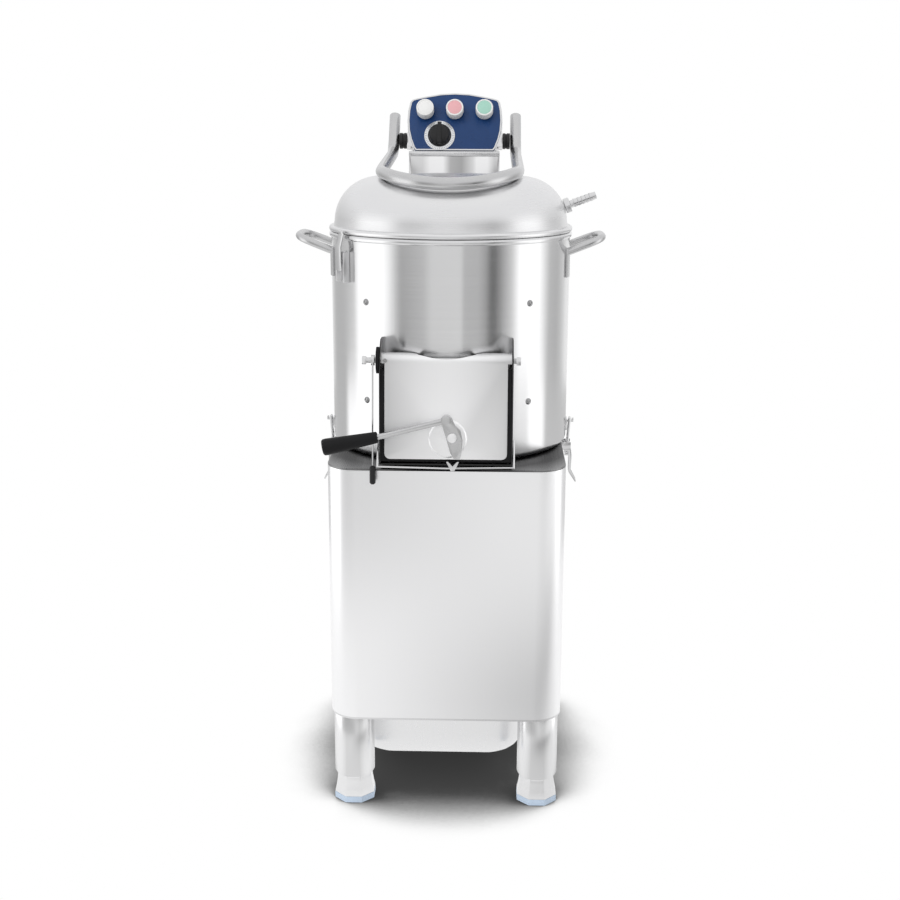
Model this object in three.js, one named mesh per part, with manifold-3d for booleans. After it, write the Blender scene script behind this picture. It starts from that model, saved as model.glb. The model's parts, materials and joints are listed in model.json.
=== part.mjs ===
// Electric potato peeler, floor standing, in stainless steel, with a batch drum on a motor cabinet.
// Millimetres. X to the right seen from the front, Y to the rear, Z up.
// The origin is on the floor, under the axis of the drum.

import * as THREE from 'three';
import { mergeVertices } from 'three/addons/utils/BufferGeometryUtils.js';
import Module from 'manifold-3d';

const wasm = await Module();
wasm.setup();

// Angles and counts
const deg = Math.PI / 180;
const half = 0.5;
const roundSides = 20;
const drumSides = 48;
const tubeSides = 8;
const wireSides = 8;
const yokeSides = 10;
const plateSides = 12;
const pinSides = 16;

// Clearances
const fit = 0.3; // between two pieces that seat on each other
const running = 1; // beside a piece that moves
const overrun = 4; // a cutting tool past the wall that it cuts

// Drum. Its radius sets the cabinet, the lid and the drive.
const drumRadius = 190;
const drumWall = 2.5;
const drumEdge = 10;
const drumTop = 891.5;
const drumBead = 8.5;
const drumBeadOut = 3;
const drumInner = drumRadius - drumWall;
const linerSheet = 2.6;
const linerBottom = 600;
const linerTop = 860;
const screwRadius = 5;
const screwHead = 2.5;
const screwTurn = 40.7 * deg;
const screwLevels = [643, 794];

// Cabinet
const cabinetWidth = 364;
const cabinetDepth = 444;
const cabinetCorner = 45;
const cabinetBottom = 147;
const cabinetTop = 551;
const sheet = 2;
const floorSheet = 3;
const deckSheet = 3;
const rearOpeningEdge = 42;
const rearOpeningWidth = cabinetWidth - 2 * rearOpeningEdge;
const rearOpeningBottom = 185;
const rearOpeningTop = 520;
const rearPanelLap = 10;
const rearPanelSheet = 1.5;
const deckTop = cabinetTop + deckSheet;
const drumBase = deckTop;

// Legs and feet
const legRadius = 31.75;
const legWall = 3;
const legBottom = 44;
const legInset = 0.3;
const legShift = (cabinetCorner - legRadius - legInset) * Math.sin(45 * deg);
const legX = cabinetWidth * half - cabinetCorner + legShift;
const legY = cabinetDepth * half - cabinetCorner + legShift;
const legInner = legRadius - legWall;
const footEngaged = 36;
const footPadRadius = 34;
const footPadHeight = 10;
const footFlareHeight = 14;

// Waste pan and its two rails. The pan slides out to the left, between the legs.
const panLeftGap = 6.5; // from the cabinet's left side
const panRightGap = 32.5;
const panLength = cabinetWidth - panLeftGap - panRightGap;
const panX = (panRightGap - panLeftGap) * -half;
const panLegGap = 12; // beside the legs
const panWidth = 2 * (legY - legRadius - panLegGap);
const panDepth = 115;
const panCorner = 50;
const panSheet = 2;
const panRim = 14.5;
const panTaper = 9;
const panRoundOut = 58; // the round between the pan's floor and its sides
const panRoundUp = 50;
const panRoundShares = [0, 0.35, 0.7, 1];
const panHalfWidth = panWidth * half;
const railSheet = 2;
const railLip = 13;
const railDrop = 13;
const railEnds = 5; // longer than the pan
const railLength = panLength + railEnds;
const railWebY = panHalfWidth + running;
const railBottom = cabinetBottom - railDrop;
const panSeat = railBottom + railSheet + fit;

// Outlet: the mouth in the drum, its two cheeks and the sill
const outletWidth = 160;
const outletBottom = 592;
const outletTop = 700;
const hingeOut = 15;
const hingeY = -drumRadius - hingeOut;
const hingeZ = 716;
const cheekSheet = 2;
const cheekTop = 744;
const cheekBottom = 562;
const cheekLipZ = 722;
const cheekFrontOut = 38;
const cheekLipOut = 26;
const cheekShoulderIn = 4;
const cheekRearIn = 40;
const cheekFrontY = -drumRadius - cheekFrontOut;
const cheekLipY = -drumRadius - cheekLipOut;
const cheekShoulderY = -drumRadius + cheekShoulderIn;
const cheekRearY = -drumRadius + cheekRearIn;
const sillSheet = 2;

// Outlet door, hung on a rod between the cheeks
const doorTilt = 7 * deg;
const doorHalfWidth = 91;
const doorLength = 146;
const doorSheet = 2;
const doorOffset = 9; // from the rod's axis to the panel's inner face
const doorCorner = 8;
const doorFace = doorOffset + doorSheet;
const curlOverlap = 6;
const curlReach = 16;
const curlGap = 0.5;
const curlSteps = 16;
const curlDipHalf = 62; // the curl is cut down in the middle, where the drum comes near
const curlDipLevel = 2;
const cheekInner = doorHalfWidth + curlOverlap + curlGap;
const cheekOuter = cheekInner + cheekSheet;
const rodRadius = 4;
const rodLeft = -125;
const rodRight = 110;
const rodNutRadius = 7;
const rodNut = 6;
const rodWasherRadius = 18.5;
const rodWasher = 3;
const sealWidth = 9;
const sealInside = 1;
const sealTop = 12;
const sealReach = 4; // past the panel's lower edge
const bossX = 3;
const bossHeight = 603;
const bossRadius = 29.5;
const bossProud = 3;
const pivotX = 9.5;
const pivotHeight = 605;
const pivotRadius = 4;
const pivotHeadRadius = 7;
const pivotHead = 2.5;

// Door sensor: an arm on the rod with a magnet in front of the cabinet
const sensorX = -109;
const sensorArmRadius = 1.25;
const sensorCollarRadius = 8;
const sensorCollar = 5;
const magnetRadius = 4.5;
const magnetLevel = 547;
const magnetLength = 28;
const sensorWallGap = 10.1; // from the cabinet's front to the magnet's axis
const sensorOut = cabinetDepth * half + sensorWallGap + hingeY;
const sensorOff = (sensorOut - Math.tan(doorTilt) * (hingeZ - magnetLevel)) * Math.cos(doorTilt);

// Latch: a cam plate on the door's pivot, a round lever arm and a tapered grip
const leverOffset = doorFace + bossProud + fit;
const leverSheet = 3.4;
const hubX = 1;
const hubHeight = 632;
const hubRadius = 8;
const hubProud = 13.5;
const armStand = 9;
const armOff = leverOffset + leverSheet + armStand;
const armRadius = 4.5;
const gripStartX = -100;
const gripStartHeight = 608;
const gripEndX = -181;
const gripEndHeight = 592;
const gripSmallRadius = 8.5;
const gripLargeRadius = 12.5;
const gripBore = 30;
const camFlange = 9;
const camFlangeSheet = 3;
const camWidth = 31;
const camHeight = 67;
// Outline of the cam plate, from its pivot, in shares of its width and height.
const camShares = [
  [-0.5, 0.4], [-0.27, 0.52], [-0.05, 0.46], [0.15, 0.28], [0.4, 0.165], [0.5, -0.06], [0.47, -0.3],
  [0.37, -0.48], [0.11, -0.48], [-0.08, -0.34], [-0.21, -0.13], [-0.31, 0.03], [-0.47, 0.25],
];

// Wire bow on the cheeks, with the saddle that the cam's tip sits over
const wireRadius = 1.5;
const wireTopZ = 600;
const wireTopOut = 31;
const wireFrontOut = 46;
const wireTopY = -drumRadius - wireTopOut;
const wireFrontY = -drumRadius - wireFrontOut;
const wireCornerZ = 561.2;
const wireSag = 1.8;
const saddleWidth = 19;
const saddleBottom = 556;
const saddleTop = 570;
const saddleDip = 7;
const saddleDepth = 7;
const saddleShift = 1;
const saddleX = pivotX + saddleShift;
// Outline of the saddle, in shares of its width: a V with a narrow foot.
const saddleHornShare = 0.16;
const saddleFootShare = 0.28;

// Side handles: a bent tube loop on two straps
const handleReachX = 240;
const handleRadius = 6;
const handleHalf = 50;
const handleRootZ = 862;
const handleTipZ = 884;
const handleCornerShare = 0.78;
const handleShares = [0, 0.25, 0.55, 0.85, 1]; // places along the loop, from the drum outward
const handleSteps = 22;
const strapWidth = 16;
const strapSheet = 3;
const strapBottom = 823;

// Lid: a spun dome with a bead that rests on the drum's bead
const lidBeadOut = 3.3;
const lidBead = 8.7;
const lidSheet = 2;
const lidShoulder = 5;
const lidInset = 5.5;
const lidRadius = drumRadius - lidInset;
const lidKnuckle = 70;
const lidCrown = 4;
const lidBase = drumTop + fit;
const domeBase = lidBase + lidBead + lidShoulder;
const domeTop = domeBase + lidKnuckle + lidCrown;
const crownRadius = lidRadius - lidKnuckle;
const lidBeadRadius = drumRadius + lidBeadOut;

// Lid catch at the front left: a channel on the drum and a hasp that hangs from the lid's bead
const catchTurn = -56 * deg;
const keeperWidth = 24;
const keeperDepth = 11;
const keeperSheet = 2;
const keeperBottom = 820;
const keeperTop = 866;
const keeperNotch = 8;
const haspWidth = 16;
const haspSheet = 2;
const haspPinRadius = 3;
const haspPinZ = drumTop + lidBead * half;
const haspBottom = 838;
const haspGap = 0.5;

// Toggle clamps at both sides, which pull the drum down on the deck
const clampWallReach = 12; // from the cabinet's side to the pivot
const clampDrumReach = 4; // from the drum's side to the pivot
const clampPivotX = Math.max(cabinetWidth * half + clampWallReach, drumRadius + clampDrumReach);
const clampPivotZ = 540;
const clampThrow = 10;
const clampOver = 1.2; // the rod's pin lies this far inside of the dead centre
const clampBaseSheet = 2.5;
const clampBaseHalf = 13.8;
const clampBaseBottom = 521;
const clampBaseTop = 548;
const clampEarSheet = 2;
const clampEarReach = 5;
const clampStubRadius = 2.5;
const clampLeverHalf = 11.3;
const clampLeverSheet = 2.3;
const clampRodRadius = 2;
const clampRodHalf = 6;
const clampRodTop = 585.3;
const clampHookOut = 2.8; // from the pivot
const clampHookX = clampPivotX + clampHookOut;
const hookHalf = 3.3;
const hookSheet = 3;
const hookLip = 3;
const hookLipSheet = 2.5;
const hookGroove = 3.7;
const keeperPlateHalf = 11;
const keeperPlateSheet = 2;
const keeperPlateBottom = 568;
const clampTailZ = 499;
const clampTipOut = 15; // from the pivot
const clampTipX = clampPivotX + clampTipOut;
const clampTipZ = 482;

// Rear column, which carries the control head
const columnWidth = 156;
const columnDepth = 26;
const columnGap = 3.5; // behind the drum's bead
const columnBackIn = 25.5; // in front of the cabinet's rear
const columnBehindDrum = drumRadius + drumBeadOut + columnGap;
const columnFrontY = Math.max(columnBehindDrum, cabinetDepth * half - columnBackIn);
const columnTop = 1001.2;
const columnWall = 2;
const wireHoleRadius = 9;
const wireHoleIn = 12.5; // from the cabinet's rear to the hole's axis
const wireHoleBack = cabinetDepth * half - wireHoleIn;
const wireHoleY = Math.min(columnFrontY + columnDepth * half, wireHoleBack);

// Yoke tube that lifts the lid
const yokeRadius = 9.5;
const yokeHalfWidth = 105.5;
const yokeFrontIn = 129;
const yokeFrontY = yokeFrontIn - drumRadius;
const yokeFrontSag = 14;
const pivotBehind = 31.5;
const pivotY = columnFrontY + pivotBehind;
const pivotZ = 1026;
const pivotPinRadius = 5;
const bushingRadius = 13.5;
const heelRun = 32;
const heelDrop = 21.5;
const postRun = 34;
const postRise = 42;
const yokeShares = [0.2, 0.55, 0.85]; // places along a side, from the heel to the front
const heelShare = 0.3;
const yokeBends = 8;
const yokeSteps = 52;
const heelY = pivotY - heelRun;
const heelZ = pivotZ - heelDrop;
const postTopY = pivotY + postRun;
const postTopZ = pivotZ + postRise;

// Water inlet on the lid
const spoutRise = 20 * deg;
const spoutNutRadius = 13;
const spoutNut = 9;
const spoutRadius = 6.85;
const spoutBore = 4;
const spoutLength = 52;
const spoutBarbShare = 0.14;
const spoutStepShare = 0.012;
const spoutBarbs = [2, 3, 4, 5, 6];
const spoutPitch = 7;

// Control head
const headLean = 22 * deg;
const headY = pivotY;
const headRise = 31;
const headZ = pivotZ + headRise;
const fasciaHalfWidth = 81;
const fasciaHalfHeight = 50;
const fasciaSheet = 3;
const housingRim = 1.5;
const housingWall = 2;
const housingDepth = 42;
const housingBehind = 38;
const housingBackY = headY + housingBehind;
const collarHeight = 7.7;
const collarPinRadius = 2;
const collarPins = [-50, -3];
const bushingBossRadius = 15;
const bushingBossX = fasciaHalfWidth + housingRim;
const bushingBossShare = 0.88;
const buttonSpacing = 51;
const buttonHeight = 19;
const buttonRadius = 15;
const buttonStemRadius = 10;
const buttonProud = 23;
const buttonLift = 4.6;
const buttonStemIn = 1.5;
const knobX = -26;
const knobHeight = -23.7;
const knobRadius = 20.3;
const knobDepth = 15;
const knobRidge = 4;
const knobStemRadius = 4;
const knobTopShare = 0.6;
const knobRidgeShare = 0.92;
const dialRadius = 26.5;
const dialSheet = 1.2;
// Right half of the fascia's outline, in shares of its half width and half height.
const fasciaShares = [
  [0, 1.063], [0.3, 1.037], [0.6, 0.948], [0.82, 0.872], [0.9, 0.832], [0.948, 0.74], [0.985, 0.45], [1, 0.084],
  [0.985, -0.283], [0.94, -0.597], [0.87, -0.9], [0.825, -1],
];

// Drain pipe from the drum's floor down to the pan, and the gland of the mains lead
const drainIn = 47; // inside of the cabinet's side and of the drum
const drainX = drainIn - Math.min(cabinetWidth * half, drumRadius);
const drainRadius = 20;
const drainWall = 2;
const glandRadius = 12;
const glandLength = 22;
const glandBore = 4;
const glandNutShare = 0.35;
const glandNeckShare = 0.8;
const glandLipShare = 1.4;
const glandInset = 72;
const glandX = cabinetWidth * half - glandInset;
const glandZ = 161;

// Abrasive disc and drive. The motor fills the room between the bearing and the rear panel.
const discInset = 9.5;
const discRadius = drumInner - discInset;
const discBottom = 585;
const discSheet = 10;
const discWave = 12;
const discWaves = 3;
const discSides = 36;
const discShares = [0.12, 0.45, 0.8, 1];
const discRimShare = 0.75;
const shaftRadius = 12.5;
const bearingRadius = 50;
const bearingLength = 108;
const bearingFlange = 78;
const bearingFlangeSheet = 8;
const pulleyWidth = 20;
const pulleyTop = 405;
const pulleyWebShare = 0.3;
const pulleyRimShare = 0.9;
const pulleySides = 32;
const motorPulleyRadius = 22;
const motorFrontGap = 23;
const motorRearGap = 25;
const motorRoom = cabinetDepth * half - bearingRadius - motorFrontGap - motorRearGap;
const motorRadius = motorRoom * half;
const motorY = bearingRadius + motorFrontGap + motorRadius;
const pulleyGap = 13;
const drainGap = 15; // from the drain pipe to the large pulley
const pulleyRoom = -drainX - drainRadius - drainGap;
const pulleyRadius = Math.min(motorY - motorPulleyRadius - pulleyGap, pulleyRoom);
const motorLength = 105;
const motorShaftRadius = 7;
const motorBase = 418;
const motorPlate = 6;
const motorBellShare = 0.12;
const bracketShare = 0.65;
const beltSheet = 6;
const beltWidth = 14;
const beltTurns = 24;
const beltTurnsSmall = 8;

// Materials
const materials = {
  satin_steel: [0xc4c6c8, 0.38, 0.95],
  polished_steel: [0xd2d4d6, 0.14, 1],
  dark_steel: [0x4c4f52, 0.6, 0.7],
  cast_metal: [0x8c8f92, 0.55, 0.8],
  motor_paint: [0x4a545e, 0.5, 0.2],
  grit: [0x6f6a62, 0.95, 0],
  blue_paint: [0x2f508a, 0.35, 0.1],
  black_plastic: [0x161617, 0.5, 0],
  black_rubber: [0x1b1b1c, 0.85, 0],
  white_plastic: [0xf2f2f0, 0.4, 0],
  pale_metal: [0xdfe1e3, 0.3, 0.9],
  foot_steel: [0xb9bfc6, 0.35, 0.8],
};

// Geometry helpers

function cleaned(geometry) {
  const plain = geometry.index ? geometry.toNonIndexed() : geometry.clone();
  plain.deleteAttribute('normal');
  plain.deleteAttribute('uv');
  const merged = mergeVertices(plain);
  const kept = [];
  const index = merged.index.array;
  for (let i = 0; i < index.length; i += 3) {
    const [a, b, c] = [index[i], index[i + 1], index[i + 2]];
    if (a !== b && b !== c && c !== a) kept.push(a, b, c);
  }
  merged.setIndex(kept);
  if (volumeOf(merged) < 0) {
    for (let i = 0; i < kept.length; i += 3) [kept[i + 1], kept[i + 2]] = [kept[i + 2], kept[i + 1]];
    merged.setIndex(kept);
  }
  return merged;
}

function volumeOf(geometry) {
  const p = geometry.attributes.position;
  const index = geometry.index.array;
  const [a, b, c] = [new THREE.Vector3(), new THREE.Vector3(), new THREE.Vector3()];
  let sum = 0;
  for (let i = 0; i < index.length; i += 3) {
    a.fromBufferAttribute(p, index[i]);
    b.fromBufferAttribute(p, index[i + 1]);
    c.fromBufferAttribute(p, index[i + 2]);
    sum += a.dot(b.cross(c));
  }
  return sum;
}

function toSolid(geometry) {
  const merged = cleaned(geometry);
  return new wasm.Manifold(new wasm.Mesh({
    numProp: 3,
    vertProperties: new Float32Array(merged.attributes.position.array),
    triVerts: new Uint32Array(merged.index.array),
  }));
}

function fromSolid(solid) {
  const mesh = solid.getMesh();
  const geometry = new THREE.BufferGeometry();
  const positions = [];
  for (let i = 0; i < mesh.vertProperties.length; i += mesh.numProp) {
    positions.push(mesh.vertProperties[i], mesh.vertProperties[i + 1], mesh.vertProperties[i + 2]);
  }
  geometry.setAttribute('position', new THREE.Float32BufferAttribute(positions, 3));
  geometry.setIndex(Array.from(mesh.triVerts));
  return geometry;
}

function cut(body, ...tools) {
  return fromSolid(tools.reduce((solid, tool) => solid.subtract(toSolid(tool)), toSolid(body)));
}

function joined(body, ...others) {
  return fromSolid(others.reduce((solid, other) => solid.add(toSolid(other)), toSolid(body)));
}

function common(body, other) {
  return fromSolid(toSolid(body).intersect(toSolid(other)));
}

function moved(geometry, x, y, z, rx = 0, ry = 0, rz = 0) {
  const matrix = new THREE.Matrix4().makeRotationFromEuler(new THREE.Euler(rx, ry, rz));
  matrix.setPosition(x, y, z);
  return geometry.clone().applyMatrix4(matrix);
}

function mirrored(geometry) {
  return cleaned(geometry.clone().applyMatrix4(new THREE.Matrix4().makeScale(-1, 1, 1)));
}

// A block between two corners.
function block(x0, x1, y0, y1, z0, z1) {
  const geometry = new THREE.BoxGeometry(x1 - x0, y1 - y0, z1 - z0);
  return geometry.translate((x0 + x1) * half, (y0 + y1) * half, (z0 + z1) * half);
}

// A round bar along Z, standing on z = 0.
function bar(radius, length, sides = roundSides) {
  const geometry = new THREE.CylinderGeometry(radius, radius, length, sides);
  return geometry.rotateX(90 * deg).translate(0, 0, length * half);
}

// A round bar from one point to another.
function barBetween(from, to, radius, sides = wireSides) {
  const a = new THREE.Vector3(...from);
  const b = new THREE.Vector3(...to);
  const turn = new THREE.Quaternion().setFromUnitVectors(
    new THREE.Vector3(0, 0, 1), b.clone().sub(a).normalize());
  return bar(radius, a.distanceTo(b), sides).applyQuaternion(turn).translate(a.x, a.y, a.z);
}

// A turned piece: a profile of [radius, height] pairs, swept about Z.
function turned(profile, sides = roundSides) {
  const points = profile.map(([r, z]) => new THREE.Vector2(r, z));
  return cleaned(new THREE.LatheGeometry(points, sides).rotateX(90 * deg));
}

function closedTurned(profile, sides = roundSides) {
  return turned([...profile, profile[0]], sides);
}

function roundedShape(width, depth, radius) {
  const shape = new THREE.Shape();
  const x = width * half - radius;
  const y = depth * half - radius;
  shape.absarc(x, y, radius, 0, 90 * deg);
  shape.absarc(-x, y, radius, 90 * deg, 180 * deg);
  shape.absarc(-x, -y, radius, 180 * deg, 270 * deg);
  shape.absarc(x, -y, radius, 270 * deg, 360 * deg);
  return shape;
}

function shapeOf(points) {
  return new THREE.Shape(points.map(([x, y]) => new THREE.Vector2(x, y)));
}

function extruded(shape, depth, curveSegments = 4) {
  return new THREE.ExtrudeGeometry(shape, { depth, curveSegments, bevelEnabled: false });
}

// A profile in the YZ plane, extruded along X from x0 to x1.
function extrudedX(points, x0, x1) {
  const geometry = extruded(shapeOf(points), x1 - x0);
  return geometry.rotateY(90 * deg).rotateX(90 * deg).translate(x0, 0, 0);
}

// A profile in the XZ plane, extruded along Y from y0 to y1.
function extrudedY(points, y0, y1) {
  const geometry = extruded(shapeOf(points), y1 - y0);
  return geometry.rotateX(90 * deg).translate(0, y1, 0);
}

// Rings of equal count, joined by a skin, with a fan over each end.
function loft(rings) {
  const positions = [];
  const triangle = (a, b, c) => [a, b, c].forEach((p) => positions.push(p.x, p.y, p.z));
  for (let i = 0; i + 1 < rings.length; i += 1) {
    const [lower, upper] = [rings[i], rings[i + 1]];
    for (let j = 0; j < lower.length; j += 1) {
      const k = (j + 1) % lower.length;
      triangle(lower[j], lower[k], upper[k]);
      triangle(lower[j], upper[k], upper[j]);
    }
  }
  [rings[0], rings[rings.length - 1]].forEach((ring, end) => {
    const middle = new THREE.Vector3();
    ring.forEach((p) => middle.addScaledVector(p, 1 / ring.length));
    for (let j = 0; j < ring.length; j += 1) {
      const k = (j + 1) % ring.length;
      if (end === 0) triangle(middle, ring[k], ring[j]);
      else triangle(middle, ring[j], ring[k]);
    }
  });
  const geometry = new THREE.BufferGeometry();
  geometry.setAttribute('position', new THREE.Float32BufferAttribute(positions, 3));
  return cleaned(geometry);
}

function ringAt(width, depth, radius, z, segments = 4) {
  const points = roundedShape(width, depth, radius).getPoints(segments);
  points.pop();
  return points.map((p) => new THREE.Vector3(p.x, p.y, z));
}

// A tube along a smooth curve through the points.
function curvedTube(points, radius, steps, sides = tubeSides) {
  const path = new THREE.CatmullRomCurve3(points.map((p) => new THREE.Vector3(...p)), false, 'centripetal');
  const section = [];
  for (let i = 0; i < sides; i += 1) {
    const turn = (i / sides) * 360 * deg;
    section.push(new THREE.Vector2(radius * Math.cos(turn), radius * Math.sin(turn)));
  }
  return cleaned(new THREE.ExtrudeGeometry(new THREE.Shape(section), { steps, extrudePath: path }));
}

// A bar bent sharply at each point, with mitred corners.
function bentBar(points, radius, sides = wireSides) {
  const p = points.map((q) => new THREE.Vector3(...q));
  const ways = p.slice(1).map((q, i) => q.clone().sub(p[i]).normalize());
  const side = Math.abs(ways[0].z) > 1 / 2 ? new THREE.Vector3(1, 0, 0) : new THREE.Vector3(0, 0, 1);
  const u = side.clone().cross(ways[0]).normalize();
  const v = ways[0].clone().cross(u);
  const first = [];
  for (let i = 0; i < sides; i += 1) {
    const turn = ((i + half) / sides) * 360 * deg;
    first.push(p[0].clone().addScaledVector(u, radius * Math.cos(turn))
      .addScaledVector(v, radius * Math.sin(turn)));
  }
  const rings = [first];
  for (let i = 1; i < p.length; i += 1) {
    const way = ways[i - 1];
    const normal = i < ways.length ? way.clone().add(ways[i]).normalize() : way;
    rings.push(rings[i - 1].map((q) => {
      const reach = p[i].clone().sub(q).dot(normal) / way.dot(normal);
      return q.clone().addScaledVector(way, reach);
    }));
  }
  return loft(rings);
}

const peeler = new THREE.Group();

function add(name, geometry, material, parent = peeler) {
  const [color, roughness, metalness] = materials[material];
  const shape = cleaned(geometry).toNonIndexed();
  shape.computeVertexNormals();
  const mesh = new THREE.Mesh(shape, new THREE.MeshStandardMaterial({ color, roughness, metalness }));
  mesh.name = name;
  parent.add(mesh);
  return mesh;
}

const drumCutter = bar(drumRadius + fit, drumTop, drumSides);

// Cabinet: a wrapped sheet, a floor that carries the pan's rails, a deck and a rear cover.

function cabinetShell() {
  const base = cabinetBottom + floorSheet;
  const outer = extruded(roundedShape(cabinetWidth, cabinetDepth, cabinetCorner), cabinetTop - base);
  const inner = extruded(
    roundedShape(cabinetWidth - 2 * sheet, cabinetDepth - 2 * sheet, cabinetCorner - sheet),
    cabinetTop - base + 2 * overrun);
  const opening = block(
    -rearOpeningWidth * half, rearOpeningWidth * half,
    cabinetDepth * half - overrun, cabinetDepth * half + overrun, rearOpeningBottom, rearOpeningTop);
  return cut(moved(outer, 0, 0, base), moved(inner, 0, 0, base - overrun), opening);
}

function deckPlate() {
  const plate = extruded(roundedShape(cabinetWidth, cabinetDepth, cabinetCorner), deckSheet);
  return cut(moved(plate, 0, 0, cabinetTop),
    moved(bar(shaftRadius + running, deckSheet + 2 * overrun), 0, 0, cabinetTop - overrun),
    moved(bar(drainRadius + fit, deckSheet + 2 * overrun), drainX, 0, cabinetTop - overrun),
    moved(bar(wireHoleRadius, deckSheet + 2 * overrun), 0, wireHoleY, cabinetTop - overrun));
}

function rearPanel() {
  const width = rearOpeningWidth + 2 * rearPanelLap;
  const y = cabinetDepth * half + fit;
  return block(-width * half, width * half, y, y + rearPanelSheet,
    rearOpeningBottom - rearPanelLap, rearOpeningTop + rearPanelLap);
}

function cabinetFloor() {
  const outline = roundedShape(cabinetWidth, cabinetDepth, cabinetCorner);
  const plate = moved(extruded(outline, floorSheet), 0, 0, cabinetBottom);
  const rails = [1, -1].map((side) => {
    const profile = [
      [side * railWebY, cabinetBottom + floorSheet * half],
      [side * (railWebY + railSheet), cabinetBottom + floorSheet * half],
      [side * (railWebY + railSheet), railBottom],
      [side * (railWebY - railLip), railBottom],
      [side * (railWebY - railLip), railBottom + railSheet],
      [side * railWebY, railBottom + railSheet],
    ];
    return extrudedX(profile, panX - railLength * half, panX + railLength * half);
  });
  const drainCutter = bar(drainRadius + fit, floorSheet + 2 * overrun);
  const drainHole = moved(drainCutter, drainX, 0, cabinetBottom - overrun);
  return cut(joined(plate, ...rails), drainHole);
}

add('cabinet_shell', cabinetShell(), 'satin_steel');
add('deck_plate', deckPlate(), 'satin_steel');
add('cabinet_floor', cabinetFloor(), 'satin_steel');
add('rear_panel', rearPanel(), 'satin_steel');

// Legs: capped tubes under the cabinet's rounded corners. Feet slide in them to level the machine.

const corners = [
  ['front_left', -1, -1],
  ['front_right', 1, -1],
  ['rear_left', -1, 1],
  ['rear_right', 1, 1],
];

function leg() {
  const cap = cabinetBottom - legWall;
  return turned([
    [0, cap], [legInner, cap], [legInner, legBottom], [legRadius, legBottom],
    [legRadius, cabinetBottom], [0, cabinetBottom],
  ]);
}

function foot() {
  const neck = legInner - fit;
  const pad = turned([
    [0, 0], [footPadRadius, 0], [footPadRadius, footPadHeight], [neck + fit, footPadHeight + footFlareHeight],
    [0, footPadHeight + footFlareHeight],
  ], 8);
  const stem = moved(bar(neck, legBottom + footEngaged - footPadHeight), 0, 0, footPadHeight);
  return joined(moved(pad, 0, 0, 0, 0, 0, 22.5 * deg), stem);
}

corners.forEach(([place, sideX, sideY]) => {
  const legMesh = add(`leg_${place}`, leg(), 'satin_steel');
  legMesh.position.set(sideX * legX, sideY * legY, 0);
  const footMesh = add(`foot_${place}`, foot(), 'foot_steel');
  footMesh.position.set(sideX * legX, sideY * legY, 0);
});

// Waste pan: a deep tapered tub that hangs by its rim on the rails.

function filterPan() {
  const bodyX = panLength - 2 * panRim;
  const bodyY = panWidth - 2 * panRim;
  const base = panSeat - panDepth;
  const roundRing = (share, wall) => {
    const turn = share * 90 * deg;
    const inset = 2 * (panTaper + panRoundOut * (1 - Math.sin(turn)) + wall);
    const corner = panCorner * (1 - half * (1 - Math.sin(turn))) - wall;
    const z = base + wall + (panRoundUp - wall) * (1 - Math.cos(turn));
    return ringAt(bodyX - inset, bodyY - inset, corner, z);
  };
  return loft([
    ...panRoundShares.map((share) => roundRing(share, 0)),
    ringAt(bodyX, bodyY, panCorner, panSeat),
    ringAt(panLength, panWidth, panCorner, panSeat),
    ringAt(panLength, panWidth, panCorner, panSeat + panSheet),
    ringAt(bodyX - 2 * panSheet, bodyY - 2 * panSheet, panCorner - panSheet, panSeat + panSheet),
    ...panRoundShares.slice().reverse().map((share) => roundRing(share, panSheet)),
  ]);
}

const panMesh = add('filter_pan', filterPan(), 'satin_steel');
panMesh.position.set(panX, 0, 0);

// Drum: a spun tub with a rolled bead, an outlet in front, a shaft hole and a drain hole.

function arcPoints(cx, cz, radius, from, to, steps) {
  const points = [];
  for (let i = 0; i <= steps; i += 1) {
    const turn = from + ((to - from) * i) / steps;
    points.push([cx + radius * Math.cos(turn), cz + radius * Math.sin(turn)]);
  }
  return points;
}

function aroundDrum(geometry, turn, radius, z) {
  // The piece is made with +X pointing away from the drum. The turn counts from the front to the right.
  const angle = turn - 90 * deg;
  return moved(geometry, radius * Math.cos(angle), radius * Math.sin(angle), z, 0, 0, angle);
}

function outletCutter() {
  return block(-outletWidth * half, outletWidth * half, -drumRadius - overrun, -drumRadius * half,
    outletBottom, outletTop);
}

function drumShell() {
  const beadBottom = drumTop - drumBead;
  const beadOuter = drumRadius + drumBeadOut;
  const bevel = drumBeadOut * half;
  const shell = closedTurned([
    [shaftRadius + running, drumBase],
    ...arcPoints(drumRadius - drumEdge, drumBase + drumEdge, drumEdge, -90 * deg, 0, 3),
    [drumRadius, beadBottom],
    [beadOuter, beadBottom + bevel],
    [beadOuter, drumTop - bevel],
    [beadOuter - bevel, drumTop],
    [drumInner, drumTop],
    ...arcPoints(drumRadius - drumEdge, drumBase + drumEdge, drumEdge - drumWall, 0, -90 * deg, 2),
    [shaftRadius + running, drumBase + drumWall],
  ], drumSides);
  const screws = [];
  [1, -1].forEach((side) => screwLevels.forEach((z) => {
    const head = closedTurnedScrew();
    screws.push(aroundDrum(head, side * screwTurn, drumRadius - drumWall * half, z));
  }));
  const drainCutter = bar(drainRadius - drainWall, drumEdge + 2 * overrun);
  const drainHole = moved(drainCutter, drainX, 0, drumBase - overrun);
  return cut(joined(shell, ...screws), outletCutter(), drainHole);
}

function closedTurnedScrew() {
  const reach = screwHead + drumWall * half;
  const head = turned([[0, 0], [screwRadius, 0], [screwRadius, reach - screwHead * half],
    [screwRadius * half, reach], [0, reach]], plateSides);
  return head.rotateY(90 * deg);
}

function abrasiveLiner() {
  const outer = drumInner - fit;
  const ring = closedTurned([
    [outer - linerSheet, linerBottom], [outer, linerBottom],
    [outer, linerTop], [outer - linerSheet, linerTop],
  ], drumSides);
  return cut(ring, outletCutter());
}

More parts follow.
